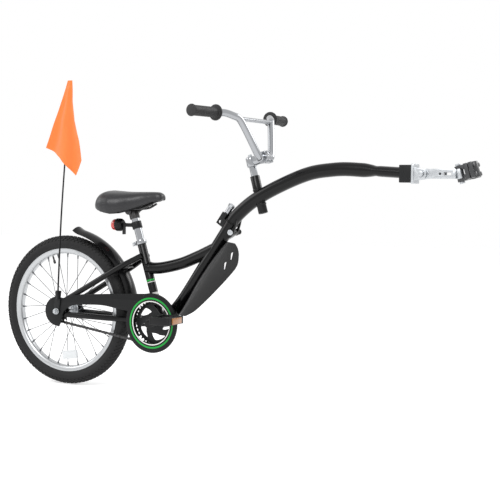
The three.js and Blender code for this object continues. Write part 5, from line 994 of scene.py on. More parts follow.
class TRAILERBIKE_OT_steering(BikeOperator):
    """Stem with its expander bolt, high-rise handlebar with cross bar, and two grips"""
    bl_idname = "trailer_bike.steering"
    bl_label = "Steering"

    def build(self, sizes):
        at_head = lambda along: HEAD + HEAD_SLOPE * along
        quill = [(4.4, -16), (10.6, -16), (11.1, -15.4), (11.1, 94), (13.5, 95), (15.2, 96.4), (16, 99),
                 (16, 122), (15.2, 125), (13.2, 126.6), (11, 127), (4.4, 127)]
        post = lathed("quill", quill, HEAD, HEAD_SLOPE, 48, loop=True)
        start = at_head(111)
        lead = (BAR_CLAMP - start).normalized()
        neck = swept("neck", [start + lead * (5.5 + k * 4.35) for k in range(11)],
                     lambda share: 13.2 - 1.4 * math.sin(math.pi * share),
                     lambda share: 15.8 - 1.6 * math.sin(math.pi * share), sides=44)
        barrel = [(11.3, -22.5), (17.2, -22.5), (18.5, -21.4), (18.5, -1.2), (17.6, -0.7), (17.6, 0.7),
                  (18.5, 1.2), (18.5, 21.4), (17.2, 22.5), (11.3, 22.5)]
        clamp = lathed("bar_clamp", barrel, BAR_CLAMP, ACROSS, 56, loop=True)
        facing = Matrix((lead, ACROSS, lead.cross(ACROSS))).transposed()
        screw = [(0, 0), (3.6, 0), (4.2, 0.6), (4.2, 3), (2.2, 3), (2.2, 1.4), (0, 1.4)]
        lugs, screws = [], []
        for height in (-14.5, 14.5):
            for side in (-11.5, 11.5):
                spot = BAR_CLAMP + facing @ Vector((7.5, side, height))
                lugs.append(rounded_box("lug", spot, (14, 14, 9), 3, facing))
                screws.append(lathed("screw", screw, spot + lead * 6.2, lead, 24))
        dressed(one_piece("stem_piece", post, neck, clamp, *lugs, *screws), "chrome", "stem_body", "stem")
        bolt = one_piece("stem_bolt_piece",
                         shape("head", *hex_head(at_head(127.3), HEAD_SLOPE, 12.2, 6.7)),
                         rod("washer", at_head(127.3), at_head(128.6), 7.0, 32, 0.3),
                         rod("shaft", at_head(-39), at_head(128), 4.0, 24, 0.3),
                         rod("wedge", at_head(-40), at_head(-16.4), 10.8, 40, 0.5))
        dressed(bolt, "zinc", "quill", "stem_bolt")

        straight = 38.0
        bend = BAR_HALF - GRIP_LONG - 4 - straight
        shares = [(0, 0, 0), (0.503, 0.395, 0.876), (0.635, 0.5, 0.938), (0.816, 0.686, 1),
                  (1, 0.849, 1)]
        half = [Vector((-back * BAR_BACK, straight + y * bend, rise * BAR_RISE))
                for y, back, rise in shares]
        end = Vector((-BAR_BACK, BAR_HALF, BAR_RISE))
        half += [half[-1].lerp(end, 0.1), half[-1].lerp(end, 0.6), end]
        whole = [mirrored(p, -1) for p in half[::-1]]
        whole += [Vector((0, -30.4, 0)), Vector((0, 0, 0)), Vector((0, 30.4, 0))] + half
        tube_path = spline([BAR_CLAMP + p for p in whole], 150)
        bar = swept("bar_tube", tube_path, 11.1, sides=36, lead=UP)
        cross = half[1].lerp(half[2], 0.1)
        across = rod("cross_bar", BAR_CLAMP + Vector((cross.x, -cross.y + 6, cross.z)),
                     BAR_CLAMP + Vector((cross.x, cross.y - 6, cross.z)), 7, 32, 0.3)
        beads = [weld(BAR_CLAMP + Vector((cross.x, way * (cross.y - 11.6), cross.z)), ACROSS,
                      7, 1.5) for way in (-1, 1)]
        dressed(one_piece("handlebar_piece", bar, across, *beads), "chrome", "bars", "handlebar")

        for way, node in ((-1, "grip_right"), (1, "grip_left")):
            tip = BAR_CLAMP + mirrored(end, way)
            back = (BAR_CLAMP + mirrored(half[-4], way) - tip).normalized()
            profile = [(0, -6), (14, -6), (17, -5.2), (18, -3.5), (18, -1.4), (17, -0.2), (15.6, 0.4)]
            ribs = sizes.grip_ribs
            for k in range(ribs):
                long = RIBBED / ribs
                base = 3 + long * k
                profile += [(14.1, base + 0.1 * long), (15.5, base + 0.3 * long),
                            (15.5, base + 0.8 * long), (14.1, base + 0.98 * long)]
            profile += [(15.4, 110), (15.4, 112), (17, 113.4), (23, 114), (24, 115), (24, 117),
                        (23, GRIP_LONG), (12.6, GRIP_LONG), (12.6, 113)]
            grip = lathed(node + "_piece", profile + [(0, 113)], tip, back, 40, sharp=32)
            dressed(grip, "grip", "bars", node)


def shell_of(name, outer, inner):
    """A closed shell between two grids of places with the same rows and columns."""
    rows, columns = len(outer), len(outer[0])
    points = [p for row in outer for p in row] + [p for row in inner for p in row]
    at = lambda layer, i, k: layer * rows * columns + i * columns + k
    faces = []
    for i in range(rows - 1):
        for k in range(columns - 1):
            for layer in (0, 1):
                faces.append((at(layer, i, k), at(layer, i, k + 1), at(layer, i + 1, k + 1),
                              at(layer, i + 1, k)))
    rim = ([(0, k) for k in range(columns)] + [(i, columns - 1) for i in range(1, rows)]
           + [(rows - 1, k) for k in range(columns - 2, -1, -1)]
           + [(i, 0) for i in range(rows - 2, 0, -1)])
    for (i, k), (m, n) in zip(rim, rim[1:] + rim[:1]):
        faces.append((at(0, i, k), at(0, m, n), at(1, m, n), at(1, i, k)))
    return shape(name, points, faces, 50)


# The saddle's outline, from its rear end to its nose
STATIONS = [0, 0.03, 0.08, 0.16, 0.28, 0.42, 0.56, 0.7, 0.84, 0.93, 0.98, 1]
WIDTHS = [0.55, 0.74, 0.88, 0.97, 1, 0.86, 0.58, 0.39, 0.3, 0.27, 0.22, 0.12]
SKIRTS = [0.81, 0.83, 0.87, 0.95, 1, 0.97, 0.84, 0.68, 0.53, 0.47, 0.44, 0.43]
RISES = [0.12, 0.62, 0.9, 1, 0.97, 0.93, 0.91, 0.91, 0.9, 0.87, 0.7, 0.2]
SECTION = [(0, 0), (0.36, 0.03), (0.66, 0.1), (0.88, 0.27), (1, 0.55), (0.95, 1)]


def saddle_grid(depth):
    """The saddle's top at a depth under its surface, as a fine grid."""
    rows = 34
    section = spline([Vector((y, drop, 0)) for y, drop in SECTION], 10)
    across = [(-p.x, p.y) for p in section[:0:-1]] + [(p.x, p.y) for p in section]
    grid = []
    for i in range(rows + 1):
        station = 0.5 - 0.5 * math.cos(math.pi * i / rows)
        width, skirt, rise = (float(np.interp(station, STATIONS, table)) for table in
                              (WIDTHS, SKIRTS, RISES))
        half = max(SADDLE_HALF * width - depth, 0.3)
        low = SADDLE_TOP - SADDLE_SKIRT * skirt
        high = rise * (SADDLE_TOP - low)
        x = SADDLE_REAR + depth + (SADDLE_LONG - 2 * depth) * station
        grid.append([Vector((x, y * half, low + (high - min(depth, high * 0.6)) * (1 - drop)))
                     for y, drop in across])
    return grid


def plumped(piece, resting, sizes):
    """The cushion after its filling has pushed its cover out: a cloth under pressure, held below."""
    modified(piece, "REMESH", mode="VOXEL", voxel_size=0.0042, use_smooth_shade=True)
    modified(piece, "SMOOTH", factor=0.6, iterations=6)
    start = np.empty(len(piece.data.vertices) * 3)
    piece.data.vertices.foreach_get("co", start)
    held = piece.vertex_groups.new(name="held")
    held.add([v.index for v in piece.data.vertices if resting(v)], 1.0, "REPLACE")
    cloth = piece.modifiers.new("cover", "CLOTH")
    for key, value in (("use_pressure", True), ("uniform_pressure_force", sizes.saddle_pressure),
                       ("tension_stiffness", 30), ("compression_stiffness", 30),
                       ("bending_stiffness", 2), ("vertex_group_mass", "held")):
        setattr(cloth.settings, key, value)
    cloth.settings.effector_weights.gravity = 0
    cloth.point_cache.frame_start = 1
    cloth.point_cache.frame_end = 20
    for step in range(1, 21):
        bpy.context.scene.frame_set(step)
    baked(piece, None)
    bpy.context.scene.frame_set(1)
    now = np.empty_like(start)
    piece.data.vertices.foreach_get("co", now)
    move = (now - start).reshape(-1, 3)
    length = np.linalg.norm(move, axis=1, keepdims=True)
    move *= np.minimum(1, 0.005 / np.maximum(length, 1e-9))
    piece.data.vertices.foreach_set("co", (start.reshape(-1, 3) + move).ravel())
    piece.vertex_groups.clear()
    return modified(piece, "SUBSURF", 60, levels=1, render_levels=1)


class TRAILERBIKE_OT_seat(BikeOperator):
    """Seatpost, clamp, rails, padded saddle and rear light"""
    bl_idname = "trailer_bike.seat"
    bl_label = "Seat"

    def build(self, sizes):
        foot, top = BRACKET + SEAT_SLOPE * 183, on_seat_tube(581)
        dressed(rod("seatpost_tube", foot, top, 12.7, 40, 0.8), "chrome", "post", "seatpost")
        carried_over(
            ("seat_clamp", "seat_clamp_piece", "post", "dark_steel", 0.7),
            ("saddle_bolt", "saddle_bolt_piece", "saddle_body", "dark_steel", 0.7),
            ("light_bracket", "light_bracket_piece", "post", "plastic", 0.7))

        rail_z = 598.8
        nose_z = SADDLE_TOP - SADDLE_SKIRT * 0.53 - 4.1
        table = [(0.16, 1.2, 0), (0.2, 1, 0), (0.3, 1, 0), (0.42, 1, 0), (0.56, 1, 0), (0.7, 1, 0.2),
                 (0.84, 0.6, 1)]
        rails = []
        for way in (-1, 1):
            spots = [Vector((SADDLE_REAR + SADDLE_LONG * a, way * 19 * b, rail_z + (nose_z - rail_z) * c))
                     for a, b, c in table]
            spots[0].z = SADDLE_TOP - 28
            rails.append(swept("rail", spline(spots, 44), 3.4, sides=20))
        dressed(one_piece("saddle_rail_pair", *rails), "dark_steel", "saddle_body",
                "saddle_rails")

        drop = Vector((0, 0, -0.9))
        outer = [[p + drop for p in row] for row in saddle_grid(11.6)]
        inner = [[p + drop for p in row] for row in saddle_grid(15.6)]
        dressed(shell_of("saddle_base", outer, inner), "plastic", "saddle_body",
                "saddle_shell")
        floor_grid = saddle_grid(11.4)
        heights = {(round(p.x), round(p.y)): p.z for row in floor_grid for p in row}
        spots = np.array([[x, y] for x, y in heights])
        levels = np.array(list(heights.values()))

        def resting(vertex):
            spot = (vertex.co - FOOT) / MM
            near = int(np.argmin(np.abs(spots - np.array((spot.x, spot.y))).sum(axis=1)))
            return spot.z < levels[near] + 3.5

        cushion = shell_of("saddle_cushion", saddle_grid(1.2), floor_grid)
        cushion = plumped(cushion, resting, sizes)
        dressed(cushion, "vinyl", "saddle_body", "saddle")

        lens = [(0, 0), (7, 0.3), (12.5, 1.5), (16, 3.8), (18.2, 7), (19.0, 11), (19.0, 17.7), (0, 17.7)]
        front = Vector((node_box("light_lens")[0].x, 0, LIGHT_Z))
        dressed(lathed("lamp_lens", lens, front, AHEAD, 48), "lens", "post", "light_lens")
        low, high = node_box("light_housing")
        long = high.x - low.x
        case = [(0, 0), (19.6, 0), (20.8, 0.8), (21, 1.8), (21, long * 0.56), (20.2, long * 0.72),
                (17.5, long * 0.9), (14.7, long), (0, long)]
        dressed(lathed("lamp_case", case, Vector((low.x, 0, LIGHT_Z)), AHEAD, 48),
                "plastic", "post", "light_housing")


def toothed(centre, teeth, radius, phase):
    """Outline of a chainwheel: round valleys for the rollers and narrow flat tips."""
    outline = []
    step = 2 * math.pi / teeth
    for i in range(teeth):
        for share in (-0.5, -0.44, -0.36, -0.27, -0.19, -0.1, 0, 0.1, 0.19, 0.27, 0.36, 0.44):
            off = abs(share) * step * radius
            if off <= 3.6:
                reach = radius * math.cos(share * step) - math.sqrt(max(4.05 ** 2 - off * off, 0))
            else:
                reach = radius + min(-1.8 + (off - 3.6) * 2.7, 2.9)
            turn = phase + (i + share) * step
            outline.append((centre.x + reach * math.cos(turn), centre.z + reach * math.sin(turn)))
    return outline


def chain_rollers():
    """Centres of the rollers, round the ring, along the lower run, round the cog and back on top."""
    front = [BRACKET + polar(RING_RADIUS, RING_FIRST - 2 * math.pi / RING_TEETH * k) for k in range(20)]
    rear = [AXLE + polar(COG_RADIUS, COG_FIRST + 2 * math.pi / COG_TEETH * k) for k in range(9)][::-1]
    lower = [front[-1].lerp(rear[0], k / 29) for k in range(1, 29)]
    upper = [rear[-1].lerp(front[0], k / 30) for k in range(1, 30)]
    return front + lower + rear + upper


class TRAILERBIKE_OT_drive(BikeOperator):
    """Chainring, one-piece crank, pedals, freewheel cog and chain"""
    bl_idname = "trailer_bike.drive"
    bl_label = "Drive"

    def build(self, sizes):
        outline = toothed(BRACKET, RING_TEETH, RING_RADIUS, RING_FIRST)
        windows = []
        for k in range(5):
            base = 2 * math.pi * k / 5 + CRANK_TURN
            window = []
            for radius, way in ((55, 1), (57, 1), (57, -1), (55, -1), (45, -1), (37, -1), (35, -1),
                                (35, 1), (37, 1), (45, 1)):
                sweep = 0.5 * (radius - 34) / 23
                edge = 13 / radius + (0.07 if radius in (35, 57) else 0.015)
                low, high = base + sweep + edge, base + sweep + 2 * math.pi / 5 - edge
                turns = {(57, 1): np.linspace(low, high, 12), (57, -1): [], (35, -1): [],
                         (35, 1): np.linspace(high, low, 8)}.get(
                             (radius, way), [low] if way == 1 else [high])
                window += [(BRACKET.x + radius * math.cos(t), BRACKET.z + radius * math.sin(t))
                           for t in turns]
            windows.append(window)
        bore = circle(BRACKET.x, BRACKET.z, 9.4)
        blade = cut_plate("blade", [outline, *windows, bore], -39.3, -36.7, 0.35)
        hub = [(9.3, -41), (15, -41), (16, -40.2), (16, -35.8), (15, -35), (9.3, -35)]
        boss = lathed("ring_boss", hub, BRACKET, ACROSS, 40, loop=True)
        dressed(one_piece("chainring_piece", blade, boss), "satin", "crank_body",
                "chainring")

        parts = [rod("spindle", BRACKET - ACROSS * 70, BRACKET + ACROSS * 70, 8.9, 40, 0.6)]
        for way in (-1, 1):
            reach = polar(102, CRANK_TURN) * -way
            tip = BRACKET + reach
            turn = math.atan2(reach.z, reach.x)
            across = polar(1, turn + math.pi / 2)
            bar = arc(BRACKET.x, BRACKET.z, 13, math.degrees(turn) + 90, math.degrees(turn) + 270, 18)
            waist = [BRACKET + reach * share + across * half
                     for share, half in ((0.3, -9.6), (0.7, -9.6), (0.7, 9.6), (0.3, 9.6))]
            bar += [(p.x, p.z) for p in waist[:2]]
            bar += arc(tip.x, tip.z, 13, math.degrees(turn) - 90, math.degrees(turn) + 90, 18)
            bar += [(p.x, p.z) for p in waist[2:]]
            near, far = sorted((way * 68.2, way * 79.8))
            parts.append(cut_plate("crank_bar", [bar], near, far, 3.4))
            collar = [(0, 0), (7.4, 0), (8, 0.6), (8, 4.2), (7.4, 4.8), (5.5, 4.8), (5.5, 10), (0, 10)]
            parts.append(lathed("collar", collar, tip + ACROSS * way * 79.8, ACROSS * way, 32))
        parts.append(shape("lock_nut", *hex_head(BRACKET + ACROSS * 36, ACROSS, 30, 6)))
        dressed(one_piece("one_piece_crank", *parts), "paint", "crank_body", "crank")

        for node, body in (("pedal_near", "pedal_near_body"), ("pedal_far", "pedal_far_body")):
            low, high = node_box(node)
            self.pedal(node, body, (low + high) / 2)

        outline = toothed(AXLE, COG_TEETH, COG_RADIUS, COG_FIRST)
        cog = cut_plate("cog_blade", [outline, circle(AXLE.x, AXLE.z, 15.5)], -39.2, -36.8, 0.3)
        low, high = node_box("freewheel")
        near, far = low.y + 0.2, high.y - 0.2
        body = [(15.5, near), (19.5, near), (20, near + 0.8), (20, near + 3), (23.6, near + 3.4),
                (24, near + 4.4), (24, far - 1), (23.4, far), (15.5, far)]
        drum = lathed("drum", body, AXLE, ACROSS, 56, loop=True)
        notches = [rounded_box("notch", AXLE + polar(17.6, t, near - 0.1), (3.4, 1.2, 3.4), 0.3,
                               Matrix.Rotation(-t, 3, "Y"), 1)
                   for t in (math.pi / 2 * k + 0.4 for k in range(4))]
        dressed(one_piece("freewheel_piece", cog, drum, *notches), "dark_steel", "cog", "freewheel")
        self.chain()

    def pedal(self, node, body, middle):
        """A moulded platform pedal with amber reflectors front and rear."""
        box = lambda x, y, z, size, edge=2.0: rounded_box("part", middle + Vector((x, y, z)), size, edge)
        parts = [box(way * 32.2, 0, 0, (9.2, 84.6, 24.6)) for way in (-1, 1)]
        parts += [box(0, way * 38.4, 0, (60, 7.8, 24.2)) for way in (-1, 1)]
        parts += [box(0, way * 17, 0, (60, 4.2, 17), 1.2) for way in (-1, 1)]
        parts.append(rod("barrel", middle - ACROSS * 40, middle + ACROSS * 40, 9, 40, 0.6))
        for x in (-32.2, 32.2):
            for y in (-34, -20.4, -6.8, 6.8, 20.4, 34):
                for z in (-11.6, 11.6):
                    parts.append(box(x, y, z, (5, 6, 1.7), 0.4))
        dressed(one_piece(node + "_cage", *parts), "plastic", body, node)
        lights = [box(way * 37.9, 0, 0, (4.6, 53.4, 19.6), 1.2) for way in (-1, 1)]
        dressed(one_piece(node + "_reflectors", *lights), "amber", body, node)

    def chain(self):
        """The roller chain: outer and inner links by turns, each between its two rollers."""
        def link(inner):
            """One link round the foot point, along X, with the plates' rounded waist."""
            half = PITCH / 2
            side = [*arc(half, 0, 4.1, -115, 115, 14), (0, 3.1), *arc(-half, 0, 4.1, 65, 295, 14),
                    (0, -3.1)]
            low, high = (2.2, 3.3) if inner else (3.6, 4.7)
            parts = [cut_plate("link", [side], *sorted((way * low, way * high)), 0.25)
                     for way in (-1, 1)]
            for x in (-half, half):
                radius, reach = (3.85, 2.15) if inner else (1.9, 5.3)
                parts.append(rod("pin", Vector((x, -reach, 0)), Vector((x, reach, 0)), radius, 16, 0.25))
            return one_piece("link", *parts)

        rollers = chain_rollers()
        spots = []
        for a, b in zip(rollers, rollers[1:] + rollers[:1]):
            spots.append(((a + b) / 2 + ACROSS * CHAIN_LINE, math.atan2(b.z - a.z, b.x - a.x)))
        for first, name in enumerate(("chain_inner_links", "chain_outer_links")):
            run = copies(name, link(first == 0), spots[first::2], "dark_steel")
            dressed(run, "dark_steel", "frame_body", "chain")


def guard_outline(inset):
    """Outline of the chain guard: a lobe round the axle, the band and the disc round the ring."""
    outline = arc(0, AXLE.z, 49 - inset, 64.8, 270, 40)
    band = [(0.016, -0.376), (0.035, -0.226), (0.045, -0.075), (0.08, 0.2), (0.16, 0.41), (0.38, 0.495),
            (0.51, 0.495), (0.65, 0.42)]
    lower = [Vector((x * BRACKET.x - (inset if z < 0 else 0),
                     BRACKET.z + z * 93 + (0 if z < 0 else inset), 0)) for x, z in band]
    outline += [(p.x, p.y) for p in spline(lower, 40)]
    reach = 96 - inset
    start = 180 - math.degrees(math.asin((34 + inset) / reach))
    end = 360 + math.degrees(math.acos(-(22.5 + inset) / reach))
    outline += arc(BRACKET.x, BRACKET.z, reach, start, end, 110)
    shoulder = (106.9, 316 - inset)
    last, first = outline[-1], outline[0]
    outline += [(last[0] + (shoulder[0] - last[0]) * k / 6, last[1] + (shoulder[1] - last[1]) * k / 6)
                for k in range(1, 6)]
    curve = spline([Vector((150, 317.5 - inset, 0)), Vector((106.9, 315 - inset, 0)),
                    Vector((60, 307.5 - inset, 0)), Vector((*first, 0))], 18)
    outline = [p for p in outline if p[0] < 20 or p[1] < 316 - inset - 20 or p[0] > 152]
    return outline + [(p.x, p.y) for p in curve[:-1]]


class TRAILERBIKE_OT_covers(BikeOperator):
    """Chain guard, fender and splash guard"""
    bl_idname = "trailer_bike.covers"
    bl_label = "Covers"

    def build(self, sizes):
        face = cut_plate("guard_face", [guard_outline(0), circle(BRACKET.x, BRACKET.z, 68, 120),
                                        circle(AXLE.x, AXLE.z, AXLE_HOLE, 32)], -61, -58.6, 0.9)
        lip = cut_plate("guard_lip", [guard_outline(0.2), guard_outline(2.6)], -59.6, -54.6, 0.5)
        rim = [*arc(BRACKET.x, BRACKET.z, 70, 138, 222, 30),
               *arc(BRACKET.x, BRACKET.z, 68.05, 222, 138, 30)]
        wall = cut_plate("guard_wall", [rim], -59.6, -45.5, 0.4)
        boss = on_seat_tube(322.4)
        spacer = [(5.6, -59), (11, -59), (11, -52.9), (5.6, -52.9)]
        screw = [(0, -61.9), (3.2, -61.9), (4.6, -61.2), (5.2, -60.6), (0, -60.6)]
        pins = [rod("boss", boss - ACROSS * 59, boss - ACROSS * 14.9, 6, 28, 0.4),
                lathed("spacer", spacer, AXLE, ACROSS, 40, loop=True),
                lathed("screw", screw, boss, ACROSS, 24)]
        dressed(one_piece("chain_guard_piece", face, lip, wall, *pins), "guard", "frame_body",
                "chain_guard")
        self.fender()
        self.splash()

    def fender(self):
        """The arched blade, with rolled sides and a flared rear lip."""
        def grid(inset):
            rows = []
            for i in range(61):
                share = i / 60
                turn = math.radians(10 + 71 * share)
                flare = 7 * max(0, (share - 0.92) / 0.08) ** 2
                nose = min(1, math.sqrt(max(share, 0.0002) / 0.045)) if share < 0.045 else 1
                row = []
                for k in range(25):
                    across = (2 * k / 24 - 1)
                    radius = 280 + flare - inset - 12 * across * across
                    row.append(AXLE + polar(radius, turn, across * (32 - inset) * (0.72 + 0.28 * nose)))
                rows.append(row)
            return rows
        blade = shell_of("fender_blade", grid(0), grid(2))
        dressed(blade, "fender", "frame_body", "fender")

    def splash(self):
        """The scooped guard on the down tube, with a tear-drop slot in each upper and lower wing."""
        path = down_tube_path(200)
        table = [(0, 0.34), (0.05, 0.56), (0.14, 0.8), (0.28, 1), (0.45, 0.93), (0.62, 0.78),
                 (0.78, 0.62), (0.92, 0.46), (1, 0.26)]
        outline = spline([Vector((a, w, 0)) for a, w in table], 56)

        def grid(inset):
            rows = []
            for point in outline:
                share = 0.86 + (0.16 - 0.86) * point.x
                spot = share * 200
                low = min(int(spot), 199)
                centre = path[low].lerp(path[low + 1], spot - low)
                along = (path[low + 1] - path[low]).normalized()
                ahead = Vector((along.z, 0, -along.x))
                rows.append([centre + ahead * (20.6 + 3 - inset + 30 * point.y
                                               * math.sqrt(across * across + 0.0016) ** 1.3)
                             + ACROSS * (across * point.y * 100)
                             for across in (k / 20 - 1 for k in range(41))])
            return rows
        guard = shell_of("splash_guard_piece", grid(0.1), grid(2.7))
        cutters = []
        for along, across in ((0.16, 0.55), (0.3, 0.55)):
            for way in (-1, 1):
                centre = path[int((0.86 - 0.7 * along) * 200)]
                reach = 50.0
                spot = centre + Vector((0, way * across * 100, 0)) - TUBE_ABOVE * reach
                turn = Matrix((ACROSS.cross(TUBE_ABOVE), ACROSS, TUBE_ABOVE)).transposed()
                lean = turn @ Matrix.Rotation(-way * 0.5, 3, "Z")
                outline_2d = (arc(13, 0, 4.4, -90, 90, 12) + arc(-13.5, 0, 2.6, 90, 270, 10))
                flat = cut_plate("slot", [outline_2d], -40, 40, 0.01, Matrix.Identity(3))
                flat.data.transform(Matrix.Translation(place(spot)) @ lean.to_4x4()
                                    @ Matrix.Translation(-FOOT))
                cutters.append(flat)
        cutter = one_piece("slots", *cutters)
        modified(guard, "BOOLEAN", 40, object=cutter, solver="EXACT")
        deleted(cutter)
        dressed(guard, "splash", "frame_body", "splash_guard")


class TRAILERBIKE_OT_flag(BikeOperator):
    """Flag bracket, fibreglass pole and the cloth hanging from its sleeve"""
    bl_idname = "trailer_bike.flag"
    bl_label = "Flag"

    def build(self, sizes):
        carried_over(("flag_bracket", "flag_bracket_piece", "frame_body", "satin", 0.5))
        foot, top = Vector((9, FLAG_Y, 296.5)), Vector((66, FLAG_Y, 1018.5))
        middle = foot.lerp(top, 0.4) + Vector((-6, 0, 0))
        path = spline([foot, middle, top], 90)
        pole = swept("flag_rod", path, lambda share: 2.9 - 0.5 * share, sides=20)
        dressed(pole, "pole", "frame_body", "flag_pole")

        rear, front = [-0.07, -0.2, -0.36, -0.51, -0.65], [0.06, 0.08, 0.14, 0.28, 0.36]
        hem = [0.705, 0.75, 0.81, 0.9, 1, 0.84]
        rows, columns = 70, 44

        def spot(down, across):
            """A place of the hanging cloth by its shares down and across."""
            back, fore = (float(np.interp(down * 4, range(5), table)) for table in (rear, front))
            length = float(np.interp(across * 5, range(6), hem))
            fold = 9 * down * math.sin(across * math.pi * 3)
            fold += 1.1 * down * math.sin(across * 21 + down * 5) + 0.7 * math.sin(down * 17 + across * 6)
            return Vector((top.x + (back + (fore - back) * across) * 142,
                           FLAG_Y - 4.4 - 9 * down + fold * 0.92, 1018.4 - down * length * 312))
        cloth = [[spot(i / rows, k / columns) for k in range(columns + 1)] for i in range(rows + 1)]
        skin = []
        for i, row in enumerate(cloth):
            line = []
            for k, p in enumerate(row):
                down = cloth[min(i + 1, rows)][k] - cloth[max(i - 1, 0)][k]
                over = row[min(k + 1, columns)] - row[max(k - 1, 0)]
                face = over.cross(down)
                line.append(p + face.normalized() * 0.5)
            skin.append(line)
        flag = shell_of("flag_cloth", cloth, skin)
        dressed(flag, "flag", "frame_body", "flag")
        sleeve_path = [p for p in spline([foot, middle, top], 400) if p.z > top.z - 84]
        sleeve = swept("flag_sleeve", sleeve_path[::4] + sleeve_path[-1:], 4.2, sides=24)
        dressed(sleeve, "flag", "frame_body", "flag")


class TRAILERBIKE_OT_hitch(BikeOperator):
    """Seatpost clamp, swivel and pitch joint of the hitch"""
    bl_idname = "trailer_bike.hitch"
    bl_label = "Hitch"

    def build(self, sizes):
        carried_over(
            ("clamp_body", "clamp_body_piece", "hitch_clamp", "alloy", 0.9),
            ("clamp_cap", "clamp_cap_piece", "hitch_clamp", "alloy", 0.6),
            ("swivel_pin", "swivel_pin_piece", "hitch_clamp", "zinc", 0.5),
            ("tongue", "tongue_piece", "swivel", "zinc", 0.8),
            ("pitch_bolt", "pitch_bolt_piece", "swivel", "zinc", 0.6))


class TRAILERBIKE_OT_stage(BikeOperator):
    """White floor and light tent, and the camera that looks as the photograph does"""
    bl_idname = "trailer_bike.stage"
    bl_label = "Stage"

    def build(self, sizes):
        self.floor()
        self.world()
        self.lamp("key_light", (900, -3600, 3400), (300, 0, 400), 2200, 95)
        self.lamp("fill_light", (-3000, -1400, 2200), (200, 0, 400), 2400, 40)
        self.lamp("rim_light", (2600, 2600, 2600), (500, 0, 500), 1800, 55)
        self.camera()

    def floor(self):
        """A plain white floor that keeps the bike's soft shadow."""
        mesh = bpy.data.meshes.new("floor")
        mesh.from_pydata([tuple(place((x, y, -0.4))) for x, y in
                          ((-9000, -9000), (9000, -9000), (9000, 9000), (-9000, 9000))], [],
                         [(0, 1, 2, 3)])
        ground = linked("floor", mesh)
        ground.data.materials.append(new_material(
            "white_floor", (0.9, 0.9, 0.9, 1), 0.8, Specular_IOR_Level=0.1, Emission_Color=(1, 1, 1, 1),
            Emission_Strength=0.42)[0])

    def world(self):
        """Even white light all round, and plain white where the backdrop shows."""
        world = bpy.data.worlds.new("studio")
        bpy.context.scene.world = world
        world.use_nodes = True
        tree = world.node_tree
        tree.nodes.clear()
        lit = add(tree, "ShaderNodeBackground", {"Color": (1, 1, 1, 1), "Strength": 0.62})
        seen = add(tree, "ShaderNodeBackground", {"Color": (1, 1, 1, 1), "Strength": 1.0})
        path = add(tree, "ShaderNodeLightPath")
        first = add(tree, "ShaderNodeMath", {"operation": "ADD"}, i0=path.outputs["Is Camera Ray"],
                    i1=path.outputs["Is Glossy Ray"])
        total = add(tree, "ShaderNodeMath", {"operation": "ADD", "use_clamp": True}, i0=first.outputs[0],
                    i1=path.outputs["Is Transmission Ray"])
        mixed = add(tree, "ShaderNodeMixShader", {}, Fac=total.outputs[0], i1=lit.outputs[0],
                    i2=seen.outputs[0])
        add(tree, "ShaderNodeOutputWorld", {}, Surface=mixed.outputs[0])

    def lamp(self, name, spot, target, width, power):
        """A soft square lamp aimed at a place."""
        light = bpy.data.lights.new(name, "AREA")
        light.size = width * MM
        light.energy = power
        lamp = linked(name, light)
        lamp.location = place(spot)
        lamp.rotation_euler = (place(target) - place(spot)).to_track_quat("-Z", "Y").to_euler()

    def camera(self):
        """The photograph's viewpoint, found from places that can be measured in it."""
        yaw, pitch, roll = 0.484220, 0.0575642, 0.00728528
        right = Vector((math.cos(yaw), math.sin(yaw), 0))
        level = Vector((-math.sin(yaw), math.cos(yaw), 0))
        ahead = level * math.cos(pitch) - UP * math.sin(pitch)
        above = UP * math.cos(pitch) + level * math.sin(pitch)
        right, above = (right * math.cos(roll) + above * math.sin(roll),
                        above * math.cos(roll) - right * math.sin(roll))
        lens = bpy.data.cameras.new("photo_camera")
        lens.sensor_width = 36
        lens.lens = 79.2
        camera = linked("photo_camera", lens)
        turn = Matrix((right, above, -ahead)).transposed().to_4x4()
        camera.matrix_world = Matrix.Translation(place((2284.18, -3013.48, 674.80))) @ turn
        bpy.context.scene.camera = camera
        bpy.context.scene.view_settings.view_transform = "Standard"


def colour(name, text, code):
    """A colour that a user can set."""
    return FloatVectorProperty(name=name, description=text, subtype="COLOR", min=0, max=1,
                               default=from_hex(code)[:3])


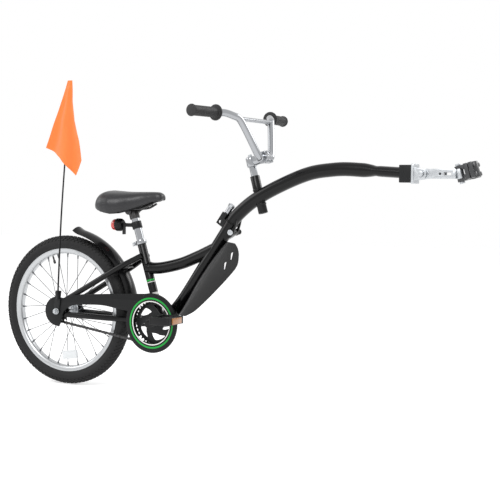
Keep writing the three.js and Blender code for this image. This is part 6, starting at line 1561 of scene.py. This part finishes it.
class TrailerBikeSizes(bpy.types.PropertyGroup):
    """Sizes and colours of the trailer bike that a user would change"""
    paint: colour("Frame Paint", "Colour of the frame's powder coat", "#070708")
    plastic: colour("Guard Plastic", "Colour of the chain guard", "#101112")
    green_stripe: colour("Green Stripe", "Colour of the green stripes", "#1E9A3C")
    white_stripe: colour("White Stripe", "Colour of the white stripes", "#E4E4E0")
    flag_colour: colour("Flag", "Colour of the flag's cloth", "#F58B3E")
    tread_blocks: IntProperty(name="Tread Blocks", description="Blocks in each row round the tyre",
                              min=30, max=160, default=96)
    tread_depth: FloatProperty(name="Tread Depth", description="Height of the tread's blocks",
                               unit="LENGTH", min=0.0005, max=0.004, default=0.0021)
    grip_ribs: IntProperty(name="Grip Ribs", description="Ribs along each handlebar grip", min=6, max=40,
                           default=20)
    saddle_pressure: FloatProperty(name="Saddle Filling", description="Pressure inside the cushion",
                                   min=0, max=20, default=4.0)


OPERATORS = (TRAILERBIKE_OT_wheel, TRAILERBIKE_OT_frame, TRAILERBIKE_OT_arm, TRAILERBIKE_OT_steering,
             TRAILERBIKE_OT_seat, TRAILERBIKE_OT_drive, TRAILERBIKE_OT_covers, TRAILERBIKE_OT_flag,
             TRAILERBIKE_OT_hitch, TRAILERBIKE_OT_stage)


class TRAILERBIKE_PT_panel(bpy.types.Panel):
    """Sizes, colours and groups of the trailer bike"""
    bl_label = "Trailer Bike"
    bl_idname = "TRAILERBIKE_PT_panel"
    bl_space_type = "VIEW_3D"
    bl_region_type = "UI"
    bl_category = "Trailer Bike"

    def draw(self, context):
        """Lists the sizes and colours, then the groups."""
        sizes = context.scene.trailer_bike
        column = self.layout.column(align=True)
        for name in TrailerBikeSizes.__annotations__:
            column.prop(sizes, name)
        column = self.layout.column(align=True)
        for operator in OPERATORS:
            column.operator(operator.bl_idname)


CLASSES = (TrailerBikeSizes,) + OPERATORS + (TRAILERBIKE_PT_panel,)


def register():
    """Adds the classes and the sizes to Blender."""
    for entry in CLASSES:
        bpy.utils.register_class(entry)
    bpy.types.Scene.trailer_bike = PointerProperty(type=TrailerBikeSizes)


def unregister():
    """Takes them out again."""
    del bpy.types.Scene.trailer_bike
    for entry in reversed(CLASSES):
        bpy.utils.unregister_class(entry)


def main():
    """Builds every group in order."""
    register()
    for operator in OPERATORS:
        group, name = operator.bl_idname.split(".")
        getattr(getattr(bpy.ops, group), name)()


if __name__ == "__main__":
    main()
